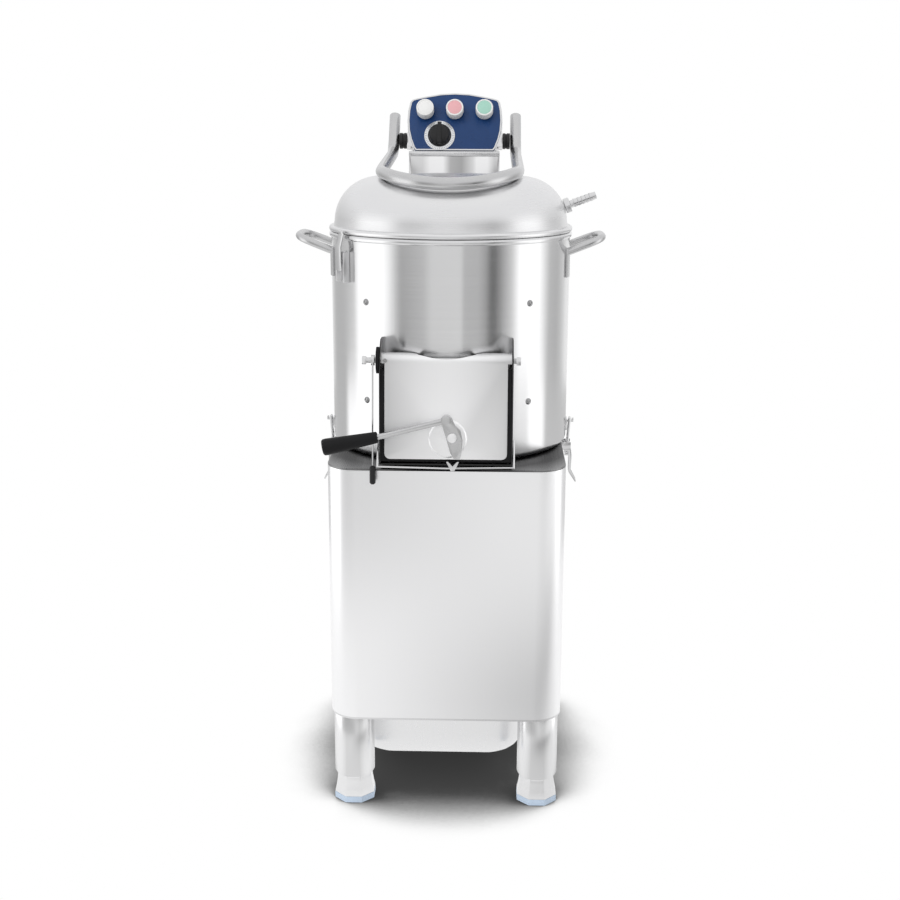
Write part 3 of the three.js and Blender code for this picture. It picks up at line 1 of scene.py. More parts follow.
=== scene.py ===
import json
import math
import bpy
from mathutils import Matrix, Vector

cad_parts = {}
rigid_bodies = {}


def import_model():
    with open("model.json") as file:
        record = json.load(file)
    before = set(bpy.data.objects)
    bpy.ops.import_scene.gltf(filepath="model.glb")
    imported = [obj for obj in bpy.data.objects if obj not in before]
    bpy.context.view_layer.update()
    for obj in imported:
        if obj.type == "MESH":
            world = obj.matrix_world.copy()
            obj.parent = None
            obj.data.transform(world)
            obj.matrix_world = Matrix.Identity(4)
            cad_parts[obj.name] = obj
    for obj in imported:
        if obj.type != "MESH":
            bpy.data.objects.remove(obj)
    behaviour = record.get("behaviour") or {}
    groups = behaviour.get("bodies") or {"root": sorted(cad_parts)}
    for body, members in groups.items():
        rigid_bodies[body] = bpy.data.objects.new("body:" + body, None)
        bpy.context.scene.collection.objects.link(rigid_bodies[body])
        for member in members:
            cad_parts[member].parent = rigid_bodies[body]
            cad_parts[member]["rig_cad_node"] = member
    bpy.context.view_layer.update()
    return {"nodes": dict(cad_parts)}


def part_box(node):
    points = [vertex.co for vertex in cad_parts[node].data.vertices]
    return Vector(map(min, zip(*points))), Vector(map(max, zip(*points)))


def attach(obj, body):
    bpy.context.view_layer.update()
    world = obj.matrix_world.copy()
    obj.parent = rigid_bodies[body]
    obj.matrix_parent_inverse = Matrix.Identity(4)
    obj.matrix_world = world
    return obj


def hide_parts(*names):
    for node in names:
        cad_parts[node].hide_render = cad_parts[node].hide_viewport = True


bl_info = {
    "name": "Potato Peeler Dresser",
    "version": (1, 0, 0),
    "blender": (4, 5, 0),
    "location": "3D View > Sidebar > Peeler",
    "description": "Builds the steel, enamel and rubber pieces of a floor-standing potato peeler and its studio",
    "category": "Add Mesh",
}

import bpy
from bpy.props import FloatProperty, FloatVectorProperty, IntProperty, PointerProperty
from bpy.types import Operator, Panel, PropertyGroup
from mathutils import Matrix, Vector

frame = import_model()

DRUM_BASE, DRUM_TOP = (corner.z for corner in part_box("drum_shell"))
LID_BASE, LID_TOP = (corner.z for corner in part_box("lid_dome"))


def length(name, default, description):
    return FloatProperty(name=name, description=description, default=default, unit="LENGTH")


def angle(name, default, description):
    return FloatProperty(name=name, description=description, default=math.radians(default), subtype="ANGLE")


def tone(name, default, description):
    return FloatVectorProperty(name=name, description=description, default=default, subtype="COLOR", size=3,
                               min=0, max=1)


class StageSizes(PropertyGroup):
    camera_distance: length("Camera distance", 2.1755, "Level distance from the drum's axis")
    camera_height: length("Camera height", 1.065, "Height above the floor")
    camera_turn: angle("Camera turn", 1.6, "Turn of the camera to the machine's right")
    camera_pitch: angle("Camera pitch", 13.83, "How far the camera looks down")
    camera_roll: angle("Camera roll", 0.2, "Small roll of the camera")
    lens: FloatProperty(name="Lens", description="Focal length in millimetres on a 36 mm sensor", default=53.96)
    floor_size: length("Floor size", 16.0, "Edge of the square floor")
    key_power: FloatProperty(name="Key power", description="Watts of the soft lamp in front", default=28.0)
    sky_level: FloatProperty(name="Sky level", description="Strength of the even light from all round",
                             default=0.82)


class DrumSizes(PropertyGroup):
    radius: length("Drum radius", 0.190, "Outer radius of the drum wall")
    wall: length("Wall", 0.0025, "Thickness of the drum wall")
    bead: length("Bead", 0.0085, "Height of the rolled bead")
    bead_out: length("Bead overhang", 0.003, "How far the bead stands out")
    edge: length("Bottom edge", 0.010, "Radius where wall and floor meet")
    turns: IntProperty(name="Steps", description="Steps round the drum", default=160, min=16)


class LidSizes(PropertyGroup):
    radius: length("Dome radius", 0.1845, "Radius of the dome at its foot")
    knuckle: length("Knuckle", 0.070, "Radius of the dome's shoulder")
    sheet: length("Sheet", 0.002, "Thickness of the dome")
    tube: length("Yoke tube", 0.0095, "Radius of the yoke's tube")


class FinishColours(PropertyGroup):
    steel: tone("Steel", (0.74, 0.74, 0.745), "Colour of the satin steel")
    polished: tone("Polished steel", (0.80, 0.80, 0.805), "Colour of the polished steel")
    enamel: tone("Blue enamel", (0.012, 0.046, 0.150), "Colour of the control fascia")
    black: tone("Black plastic", (0.012, 0.012, 0.013), "Colour of grips, knob and bushings")
    white: tone("White plastic", (0.80, 0.80, 0.79), "Colour of the button collars")
    pink: tone("Pink insert", (0.76, 0.40, 0.42), "Colour of the middle button")
    mint: tone("Mint insert", (0.36, 0.62, 0.52), "Colour of the right button")
    pad: tone("Foot pad", (0.55, 0.66, 0.80), "Colour of the foot pads")


# Selecting and shaping

UP = Vector((0, 0, 1))
WELD = 0.00001


def deselect():
    if bpy.context.object and bpy.context.object.mode != "OBJECT":
        bpy.ops.object.mode_set(mode="OBJECT")
    bpy.ops.object.select_all(action="DESELECT")


def choose(piece):
    deselect()
    piece.select_set(True)
    bpy.context.view_layer.objects.active = piece


def edit_all():
    """Enters edit mode with the whole mesh selected."""
    bpy.ops.object.mode_set(mode="EDIT")
    bpy.ops.mesh.select_all(action="SELECT")


def face_out(weld=0):
    """Welds close points if asked, turns all faces outwards and leaves edit mode."""
    bpy.ops.mesh.select_all(action="SELECT")
    if weld:
        bpy.ops.mesh.remove_doubles(threshold=weld)
    bpy.ops.mesh.normals_make_consistent(inside=False)
    bpy.ops.object.mode_set(mode="OBJECT")


def extrude(step):
    bpy.ops.mesh.extrude_region_move(TRANSFORM_OT_translate={"value": step})


def bake():
    bpy.ops.object.transform_apply(location=True, rotation=True, scale=True)


def move(piece, *places):
    """Carries a piece by these matrices, the last of them first."""
    for place in reversed(places):
        piece.matrix_world = place @ piece.matrix_world
    return piece


def stood(centre, axis):
    """The place of a piece that stands at the centre with its top along the axis."""
    return Matrix.Translation(centre) @ UP.rotation_difference(Vector(axis)).to_matrix().to_4x4()


def settle(piece, name, finish, body, slot, node=None, smooth=35):
    """Names a new piece, puts its place in its mesh, gives it its finish and body, and hides the CAD node that it
    stands for; its slot is not used."""
    choose(piece)
    bake()
    bpy.ops.object.shade_smooth_by_angle(angle=math.radians(smooth))
    piece.name = name
    piece.data.name = name
    piece.data.materials.clear()
    piece.data.materials.append(FINISHES[finish])
    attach(piece, body)
    if node:
        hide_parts(node)
    return piece


def apply_modifier(piece, kind, **settings):
    choose(piece)
    change = piece.modifiers.new(kind, kind)
    for name, value in settings.items():
        setattr(change, name, value)
    bpy.ops.object.modifier_apply(modifier=change.name)


def apply_bevel(piece, width, segments=2, angle=40):
    apply_modifier(piece, "BEVEL", width=width, segments=segments, limit_method="ANGLE",
                   angle_limit=math.radians(angle), use_clamp_overlap=True)


def cut_with(piece, tool):
    apply_modifier(piece, "BOOLEAN", object=tool, operation="DIFFERENCE", solver="EXACT")
    bpy.data.objects.remove(tool)


def thicken(piece, sheet, offset=-1):
    apply_modifier(piece, "SOLIDIFY", thickness=sheet, offset=offset, use_even_offset=True)


def copied_node(node, name, finish, body, slot, bevel):
    """A CAD node copied, welded and softened at its edges."""
    choose(frame["nodes"][node])
    bpy.ops.object.duplicate()
    piece = bpy.context.view_layer.objects.active
    choose(piece)
    bpy.ops.object.parent_clear(type="CLEAR_KEEP_TRANSFORM")
    del piece["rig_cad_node"]
    edit_all()
    bpy.ops.mesh.remove_doubles(threshold=2 * WELD)
    bpy.ops.mesh.dissolve_limited(angle_limit=math.radians(0.5))
    bpy.ops.object.mode_set(mode="OBJECT")
    if bevel:
        apply_bevel(piece, bevel)
    settle(piece, name, finish, body, slot, node)


def turned_piece(profile, steps, centre=(0, 0, 0), axis=UP):
    """Spins a profile of (radius, height) pairs about the axis through the centre."""
    deselect()
    bpy.ops.mesh.primitive_plane_add(size=0.01, location=(0, 0, 0))
    piece = bpy.context.object
    edit_all()
    bpy.ops.mesh.merge(type="CENTER")
    points = [Vector((radius, 0, height)) for radius, height in profile]
    bpy.ops.transform.translate(value=points[0])
    for last, point in zip(points, points[1:]):
        extrude(point - last)
    bpy.ops.mesh.select_all(action="SELECT")
    bpy.ops.mesh.spin(steps=steps, angle=math.tau, center=(0, 0, 0), axis=UP)
    face_out(WELD)
    piece.matrix_world = stood(centre, axis)
    return piece


def closed(profile):
    return [*profile, profile[0]]


def turned(profile, steps, centre, axis, *look, **more):
    """A turned piece, settled with its name, finish and body; its slot is passed on and not used."""
    return settle(turned_piece(profile, steps, centre, axis), *look, **more)


def arc(cx, cz, radius, start, end, steps):
    """Points on a part of a circle, from one angle to another in degrees."""
    turns = [math.radians(start + (end - start) * i / steps) for i in range(steps + 1)]
    return [(cx + radius * math.cos(turn), cz + radius * math.sin(turn)) for turn in turns]


def rolled_bead(x, z, out, half):
    """Points round the outside of a rolled edge, from its foot to its top."""
    turns = [math.radians(angle) for angle in range(-90, 91, 15)]
    return [(x + out * math.cos(turn), z + half * math.sin(turn)) for turn in turns]


def tube_piece(points, radius, sides):
    """A round tube along a smooth curve, with its ends filled."""
    deselect()
    bpy.ops.curve.primitive_nurbs_path_add(location=(0, 0, 0))
    curve = bpy.context.object.data
    spline = curve.splines[0]
    spline.points.add(len(points) - len(spline.points))
    for place, point in zip(spline.points, points):
        place.co = (*point, 1)
    spline.order_u = 4
    spline.use_endpoint_u = True
    spline.resolution_u = 8
    curve.dimensions = "3D"
    curve.bevel_depth = radius
    curve.bevel_resolution = sides
    curve.use_fill_caps = True
    bpy.ops.object.convert(target="MESH")
    edit_all()
    face_out(WELD)
    return bpy.context.object


def block_tool(low, high):
    """A block between two corners, to cut with or to shape further."""
    deselect()
    middle = [(a + b) / 2 for a, b in zip(low, high)]
    bpy.ops.mesh.primitive_cube_add(size=1, location=middle, scale=[b - a for a, b in zip(low, high)])
    return bpy.context.object


def bar_tool(start, end, radius, sides=48):
    """A round bar between two points."""
    deselect()
    start, end = Vector(start), Vector(end)
    bpy.ops.mesh.primitive_cylinder_add(vertices=sides, radius=radius, depth=(end - start).length,
                                        location=(start + end) / 2)
    piece = bpy.context.object
    piece.rotation_mode = "QUATERNION"
    piece.rotation_quaternion = UP.rotation_difference((end - start).normalized())
    bpy.context.view_layer.update()
    return piece


def drill(piece, x, y, low, high, radius):
    """Cuts an upright round hole."""
    cut_with(piece, bar_tool((x, y, low), (x, y, high), radius))


def octagon(radius, low, high):
    """An upright eight-sided block with flat sides to the front and the rear."""
    deselect()
    bpy.ops.mesh.primitive_cylinder_add(vertices=8, radius=radius, depth=high - low,
                                        location=(0, 0, (low + high) / 2), rotation=(0, 0, math.radians(22.5)))
    bake()
    return bpy.context.object


def join_pieces(pieces):
    """Makes one piece of several."""
    deselect()
    for piece in pieces:
        piece.select_set(True)
    bpy.context.view_layer.objects.active = pieces[0]
    bake()
    bpy.ops.object.join()
    return bpy.context.view_layer.objects.active


def rounded_sheet(width, depth, corner, low, high, segments=14):
    """A block with rounded upright corners, shaped from a plane."""
    deselect()
    bpy.ops.mesh.primitive_plane_add(size=1, location=(0, 0, low))
    piece = bpy.context.object
    piece.scale = (width, depth, 1)
    bake()
    edit_all()
    bpy.ops.mesh.bevel(offset=corner, segments=segments, affect="VERTICES", profile=0.5)
    bpy.ops.mesh.select_all(action="SELECT")
    extrude((0, 0, high - low))
    face_out()
    return piece


def select_faces(piece, wanted):
    """Enters edit mode with only the faces selected for which wanted(face) holds."""
    choose(piece)
    bpy.ops.object.mode_set(mode="EDIT")
    bpy.ops.mesh.select_mode(type="FACE")
    bpy.ops.mesh.select_all(action="DESELECT")
    bpy.ops.object.mode_set(mode="OBJECT")
    for face in piece.data.polygons:
        face.select = wanted(face)
    bpy.ops.object.mode_set(mode="EDIT")


def leave_faces():
    bpy.ops.mesh.select_mode(type="VERT")
    bpy.ops.object.mode_set(mode="OBJECT")


def delete_faces(piece, unwanted):
    select_faces(piece, unwanted)
    bpy.ops.mesh.delete(type="FACE")
    leave_faces()


def open_ends(piece, *heights):
    """Takes away the level faces at the given heights."""
    delete_faces(piece, lambda face: abs(face.normal.z) > 0.9
                 and any(abs(face.center.z - height) < WELD for height in heights))


def turn_faces_out(piece):
    choose(piece)
    edit_all()
    face_out()


# Nodes


def wire(tree, node, inputs):
    """Sets a node's inputs to numbers, or links them to sockets or to the first outputs of other nodes."""
    for name, value in inputs.items():
        if isinstance(value, bpy.types.Node):
            value = value.outputs[0]
        if isinstance(value, bpy.types.NodeSocket):
            tree.links.new(value, node.inputs[name])
        else:
            node.inputs[name].default_value = value


def add_node(tree, kind, inputs=None, **settings):
    """A new shader node; its settings come before its inputs, which may depend on them."""
    node = tree.nodes.new(f"ShaderNode{kind}")
    for name, value in settings.items():
        setattr(node, name, value)
    wire(tree, node, inputs or {})
    return node


def add_math(tree, operation, *values):
    return add_node(tree, "Math", dict(enumerate(values)), operation=operation)


def add_split(tree, vector):
    """The X, Y and Z of a vector."""
    return add_node(tree, "SeparateXYZ", {0: vector}).outputs


def add_range(tree, value, start, end):
    return add_node(tree, "MapRange", {"Value": value, "From Min": start, "From Max": end})


def add_mix(tree, factor, first, second, blend="MIX"):
    """The colour that a mix gives."""
    mix = add_node(tree, "Mix", {"Factor": factor, "A": first, "B": second}, data_type="RGBA", blend_type=blend)
    return mix.outputs["Result"]


def add_ramp(tree, value, levels):
    """A colour ramp through (place, level) pairs, in which a level is a grey or a colour."""
    ramp = add_node(tree, "ValToRGB", {"Fac": value})
    elements = ramp.color_ramp.elements
    elements.remove(elements[-1])
    for i, (place, level) in enumerate(levels):
        element = elements.new(place) if i else elements[0]
        element.position = place
        element.color = (*(level if isinstance(level, tuple) else (level,) * 3), 1)
    return ramp


def surface_group(name, inputs):
    """A node group that turns a place into a tint from 0 to 1, a roughness and a height."""
    group = bpy.data.node_groups.new(name, "ShaderNodeTree")
    group.interface.new_socket(name="Vector", in_out="INPUT", socket_type="NodeSocketVector")
    for label, value in inputs.items():
        kind = "NodeSocketVector" if isinstance(value, tuple) else "NodeSocketFloat"
        socket = group.interface.new_socket(name=label, in_out="INPUT", socket_type=kind)
        socket.default_value = value
    for label in ("Tint", "Roughness", "Height"):
        group.interface.new_socket(name=label, in_out="OUTPUT", socket_type="NodeSocketFloat")
    return group, group.nodes.new("NodeGroupInput").outputs, group.nodes.new("NodeGroupOutput")


def rough_range(group, start, value):
    """The roughness between its two limits that a noise gives."""
    return add_node(group, "MapRange", {"Value": value, "From Min": 0.3, "From Max": 0.7,
                                        "To Min": start["Roughness Low"], "To Max": start["Roughness High"]})


def grain_group():
    """Long fine brush lines, with faint smudges in their roughness."""
    if "brushed grain" in bpy.data.node_groups:
        return bpy.data.node_groups["brushed grain"]
    group, start, end = surface_group("brushed grain", {
        "Stretch": (6, 6, 900), "Roughness Low": 0.25, "Roughness High": 0.4, "Smudge": 0.05})
    stretch = add_node(group, "VectorMath", {0: start["Vector"], 1: start["Stretch"]}, operation="MULTIPLY")
    lines = add_node(group, "TexNoise", {"Vector": stretch, "Scale": 1.0, "Detail": 4.0, "Roughness": 0.65})
    cloud = add_node(group, "TexNoise", {"Vector": start["Vector"], "Scale": 7.0, "Detail": 3.0})
    rough = add_math(group, "MULTIPLY_ADD", cloud, start["Smudge"], rough_range(group, start, lines))
    wire(group, end, {"Tint": lines, "Roughness": rough, "Height": lines})
    return group


def skin_group():
    """Fine moulded or cast skin."""
    if "moulded skin" in bpy.data.node_groups:
        return bpy.data.node_groups["moulded skin"]
    group, start, end = surface_group("moulded skin", {
        "Scale": 900.0, "Roughness Low": 0.35, "Roughness High": 0.5})
    fine = add_node(group, "TexNoise", {"Vector": start["Vector"], "Scale": start["Scale"], "Detail": 3.0})
    wide = add_node(group, "TexNoise", {"Vector": start["Vector"], "Scale": 22.0})
    wire(group, end, {"Tint": wide, "Roughness": rough_range(group, start, wide), "Height": fine})
    return group


# Finishes

FINISHES = {}
# Black painted on as shade: close round the drum on the deck, and on the cut edges of the cheeks.
SHADE_BLACK = (0.012, 0.012, 0.013)
SMUDGE = 0.04
BUMP_DEPTH = 0.0002

# How bright the column's neck is painted, from its left side to its right: painted reflections, bright to each
# side of a dark middle.
NECK_BANDS = [(0.0, 0.72), (0.16, 0.70), (0.24, 0.90), (0.38, 0.90), (0.46, 0.46), (0.58, 0.40), (0.70, 0.70),
              (0.74, 0.90), (0.86, 0.92), (0.93, 0.66)]
NECK_HALF = 0.080


def shade(colour, factor):
    return tuple(min(1.0, c * factor) for c in colour)


def new_finish(name, numbers):
    """A material with numbers set on its Principled shader, and its coordinates."""
    made = bpy.data.materials.new(name)
    made.use_nodes = True
    tree = made.node_tree
    shader = tree.nodes["Principled BSDF"]
    wire(tree, shader, numbers)
    return made, tree, shader, add_node(tree, "TexCoord").outputs


def link_surface(tree, shader, surface, colour, spread, bump, depth):
    """Tint about a colour, roughness and a fine bump from a surface group."""
    tint = add_ramp(tree, surface.outputs["Tint"],
                    [(0.3, shade(colour, 1 - spread)), (0.7, shade(colour, 1 + spread))])
    height = add_node(tree, "Bump", {"Strength": bump, "Distance": depth, "Height": surface.outputs["Height"]})
    wire(tree, shader, {"Base Color": tint, "Roughness": surface.outputs["Roughness"], "Normal": height})


def brushed(name, colour, stretch, low, high, bump, spread=0.06, anisotropic=0.0):
    made, tree, shader, coords = new_finish(name, {"Metallic": 1.0})
    if anisotropic:
        around = add_node(tree, "Tangent", direction_type="RADIAL", axis="Z")
        wire(tree, shader, {"Anisotropic": anisotropic, "Anisotropic Rotation": 0.25, "Tangent": around})
    grain = add_node(tree, "Group", {"Vector": coords["Object"], "Stretch": stretch, "Roughness Low": low,
                                     "Roughness High": high, "Smudge": SMUDGE}, node_tree=grain_group())
    link_surface(tree, shader, grain, colour, spread, bump, BUMP_DEPTH)
    return made


def moulded(name, colour, scale, low, high, bump, spread=0.08, gloss=0.5, metallic=0.0, depth=BUMP_DEPTH):
    made, tree, shader, coords = new_finish(name, {"Metallic": metallic, "Specular IOR Level": gloss})
    skin = add_node(tree, "Group", {"Vector": coords["Object"], "Scale": scale, "Roughness Low": low,
                                    "Roughness High": high}, node_tree=skin_group())
    link_surface(tree, shader, skin, colour, spread, bump, depth)
    return made


def shadowed_deck(name, colour):
    """Deck steel painted black under and round the drum, fading out to a dimmed steel: painted shade from the
    drum.
    """
    made, tree, shader, coords = new_finish(name, {"Metallic": 1.0})
    flat = add_node(tree, "VectorMath", {0: coords["Object"], 1: (1, 1, 0)}, operation="MULTIPLY")
    reach = add_node(tree, "VectorMath", {0: flat}, operation="LENGTH")
    # Painted shade: black near the drum, dimmed steel further out.
    fade = add_ramp(tree, reach.outputs["Value"], [(0.226, SHADE_BLACK), (0.290, shade(colour, 0.55))])
    grain = add_node(tree, "Group", {"Vector": coords["Object"], "Stretch": (900, 12, 12), "Roughness Low": 0.22,
                                     "Roughness High": 0.32}, node_tree=grain_group())
    wire(tree, shader, {"Base Color": fade, "Roughness": grain.outputs["Roughness"]})
    return made


def shade_towards_sides(made, fall):
    """Darkens a sheet towards its two sides: painted shade, as a bowed panel would show it."""
    tree = made.node_tree
    shader = tree.nodes["Principled BSDF"]
    across = add_split(tree, add_node(tree, "TexCoord").outputs["Object"])["X"]
    painted_side_shade = add_math(tree, "MULTIPLY_ADD", add_math(tree, "MULTIPLY", across, across), -fall, 1.0)
    tint = shader.inputs["Base Color"].links[0].from_socket
    wire(tree, shader, {"Base Color": add_mix(tree, 1.0, tint, painted_side_shade, "MULTIPLY")})
    return made


def edge_shaded_steel(name, colour):
    """Sheet steel with its cut edges painted black, for the cheeks beside the door: painted shade that, with the
    black seal beside them, makes the dark lines along the door's sides.
    """
    made, tree, shader, coords = new_finish(name, {"Roughness": 0.30})
    flat = add_math(tree, "ABSOLUTE", add_split(tree, coords["Normal"])["X"])
    wire(tree, shader, {"Base Color": add_ramp(tree, flat, [(0.70, SHADE_BLACK), (0.90, colour)]),
                        "Metallic": add_math(tree, "GREATER_THAN", flat, 0.80)})
    return made


def streak_lit_tube(name, colour):
    """Upright tube steel painted pale at the quarters and darker between them: painted highlights and shade, as a
    round tube mirrors the light.
    """
    made, tree, shader, coords = new_finish(name, {"Metallic": 1.0, "Roughness": 0.24})
    split = add_split(tree, coords["Normal"])
    quarter = add_math(tree, "ABSOLUTE", add_math(tree, "MULTIPLY", split["X"], split["Y"]))
    wire(tree, shader, {"Base Color": add_ramp(tree, quarter, [(0.30, shade(colour, 0.80)), (0.48, colour)])})
    return made


def reflection_banded_neck(name, colour):
    """Column steel, painted dark in the middle of the neck and light at its sides: painted reflections."""
    made, tree, shader, coords = new_finish(name, {"Metallic": 1.0, "Roughness": 0.28})
    place, facing = add_split(tree, coords["Object"]), add_split(tree, coords["Normal"])
    bands = add_ramp(tree, add_range(tree, place["X"], -NECK_HALF, NECK_HALF), NECK_BANDS)
    shown = add_math(tree, "MULTIPLY", add_range(tree, place["Z"], 0.93, 0.96),
                     add_math(tree, "LESS_THAN", facing["Y"], -0.5))
    wire(tree, shader, {"Base Color": add_mix(tree, shown, (*colour, 1), bands)})
    return made


def make_finishes():
    colours = bpy.context.scene.peeler_finish
    steel, polished, black = tuple(colours.steel), tuple(colours.polished), tuple(colours.black)
    even = (60, 60, 60)
    # Name, colour, stretch of the grain, lowest and highest roughness, bump, spread of the tint, anisotropy.
    rows = {
        "spun": ("spun drum steel", steel, (3, 3, 1100), 0.15, 0.18, 0.01, 0.02, 0.90),
        "dome": ("spun lid steel", shade(steel, 1.04), (5, 5, 300), 0.25, 0.27, 0.004, 0.004),
        # Painted light: the cabinet's steel is a lighter copy of the same steel, for the brighter light it
        # mirrors.
        "cabinet": ("satin cabinet steel", shade(steel, 1.27), (1400, 1400, 4), 0.27, 0.30, 0.006, 0.006),
        "sheet": ("satin sheet steel", steel, (900, 900, 8), 0.24, 0.32, 0.02, 0.02),
        # Painted light: the door's steel is a lighter copy of the same steel, for the brighter light it mirrors.
        "door": ("satin door steel", shade(steel, 1.34), (1300, 6, 6), 0.34, 0.38, 0.006, 0.005),
        "polished": ("polished steel", shade(polished, 0.86), even, 0.10, 0.15, 0.004, 0.02),
        "latch": ("latch steel", shade(polished, 0.72), even, 0.14, 0.20, 0.004, 0.03),
        "tube": ("satin tube", shade(polished, 0.70), even, 0.20, 0.26, 0.004, 0.02),
        "pan": ("pan steel", shade(steel, 1.12), (300, 300, 12), 0.24, 0.30, 0.01, 0.01),
        "foot": ("foot steel", shade(steel, 1.12), (300, 300, 20), 0.20, 0.26, 0.002, 0.01),
        "case": ("head case steel", steel, (900, 20, 20), 0.22, 0.30, 0.015, 0.02),
        "dial": ("dial plate", (0.78, 0.79, 0.80), (700, 20, 20), 0.25, 0.35, 0.05),
        "screw": ("screw steel", shade(steel, 0.5), (300, 300, 300), 0.20, 0.30, 0.02),
    }
    FINISHES.update({key: brushed(*row) for key, row in rows.items()})
    # Name, colour, scale of the skin, lowest and highest roughness, bump, spread, gloss, metallic, bump's depth.
    rows = {
        "cast": ("cast iron", (0.30, 0.30, 0.31), 700, 0.45, 0.65, 0.3, 0.15, 0.5, 0.9),
        "bracket": ("bracket paint", (0.06, 0.065, 0.07), 500, 0.5, 0.65, 0.2),
        "motor": ("motor paint", (0.07, 0.09, 0.115), 400, 0.4, 0.55, 0.2),
        "grit": ("bonded grit", (0.16, 0.145, 0.125), 1100, 0.85, 1.0, 1.0, 0.35, 0.5, 0.0, 0.001),
        "enamel": ("blue enamel", tuple(colours.enamel), 600, 0.24, 0.34, 0.03, 0.05, 0.3),
        "black": ("black plastic", black, 1400, 0.34, 0.48, 0.10, 0.2, 0.3),
        "grip": ("grip plastic", shade(black, 0.7), 1600, 0.38, 0.52, 0.15, 0.2, 0.15),
        "rubber": ("black rubber", shade(black, 0.8), 900, 0.70, 0.85, 0.15, 0.25, 0.15),
        "white": ("white plastic", tuple(colours.white), 900, 0.28, 0.36, 0.02, 0.02),
        "pink": ("pink plastic", tuple(colours.pink), 900, 0.28, 0.36, 0.02, 0.03),
        "mint": ("mint plastic", tuple(colours.mint), 900, 0.28, 0.36, 0.02, 0.03),
        "pad": ("foot pad", tuple(colours.pad), 500, 0.35, 0.45, 0.05, 0.06),
        "ink": ("dial ink", (0.05, 0.05, 0.055), 500, 0.5, 0.6, 0.02),
    }
    FINISHES.update({key: moulded(*row) for key, row in rows.items()})
    # The door's steel is painted darker towards its sides: painted shade.
    FINISHES["door"] = shade_towards_sides(FINISHES["door"], 32)
    FINISHES["neck"] = reflection_banded_neck("column steel", steel)
    # The cheeks' cut edges are painted black: painted shade.
    FINISHES["cheek"] = edge_shaded_steel("cheek steel", shade(steel, 0.80))
    FINISHES["deck"] = shadowed_deck("deck steel", steel)
    FINISHES["leg"] = streak_lit_tube("leg steel", shade(steel, 1.16))


# Pieces

SIDES = ((1, "right"), (-1, "left"))
SHAFT_HOLE = 0.0135
DRAIN_X = -0.135
DRAIN_HOLE = 0.0203
OUTLET = ((-0.080, -0.210, 0.592), (0.080, -0.095, 0.700))
SCREW_TURN = math.radians(40.7)
SCREW_LEVELS = (0.643, 0.794)
SCREW_HEAD = [(0, 0.0026), (0.0022, 0.0025), (0.004, 0.0018), (0.005, 0.0006), (0.005, -0.001), (0, -0.001)]
SCREW_SLOT = ((-0.0006, -0.004, 0.0012), (0.0006, 0.004, 0.004))
COVER_SCREW = [(0, 0.0021), (0.002, 0.0019), (0.0035, 0.001), (0.0038, -0.0005), (0, -0.0005)]
COVER_SCREW_IN = 0.006
CABINET_CORNER = 0.045
CABINET_SHEET = 0.002
KEPT_FINISHES = {
    "abrasive_disc": "grit", "drive_shaft": "cast", "bearing_housing": "cast", "large_pulley": "cast",
    "motor_pulley": "cast", "motor": "motor", "motor_bracket": "bracket", "drive_belt": "rubber",
}


class PEELER_OT_finishes(Operator):
    """Make the finishes and give them to the CAD pieces that stay as they are"""
    bl_idname = "peeler.finishes"
    bl_label = "Finishes"

    def execute(self, context):
        make_finishes()
        for node, piece in frame["nodes"].items():
            piece.data.materials.clear()
            piece.data.materials.append(FINISHES[KEPT_FINISHES.get(node, "sheet")])
        return {"FINISHED"}


class PEELER_OT_drum(Operator):
    """Spin the drum, cut its outlet and drain, and set its screws"""
    bl_idname = "peeler.drum"
    bl_label = "Drum"

    def execute(self, context):
        size = context.scene.peeler_drum
        radius, wall, edge, half_bead = size.radius, size.wall, size.edge, size.bead / 2
        low, top = DRUM_BASE, DRUM_TOP
        profile = [(SHAFT_HOLE, low), *arc(radius - edge, low + edge, edge, -90, 0, 8),
                   *rolled_bead(radius, top - half_bead, size.bead_out, half_bead), (radius - wall, top),
                   *arc(radius - edge, low + edge, edge - wall, 0, -90, 6), (SHAFT_HOLE, low + wall)]
        drum = turned_piece(closed(profile), size.turns)
        cut_with(drum, block_tool(*OUTLET))
        drill(drum, DRAIN_X, 0, low - 0.004, low + 0.014, 0.018)
        settle(drum, "drum_wall", "spun", "base", "satin_steel", "drum_shell")
        copied_node("abrasive_liner", "grit_liner", "grit", "base", "grit", 0)
        for side, name in SIDES:
            away = Vector((side * math.sin(SCREW_TURN), -math.cos(SCREW_TURN), 0))
            for level in SCREW_LEVELS:
                place = away * radius + UP * level
                head = turned(SCREW_HEAD, 24, place, away,
                              f"drum_screw_{name}_{round(level * 1000)}", "screw", "base", "satin_steel")
                cut_with(head, move(block_tool(*SCREW_SLOT), stood(place, away)))
        return {"FINISHED"}


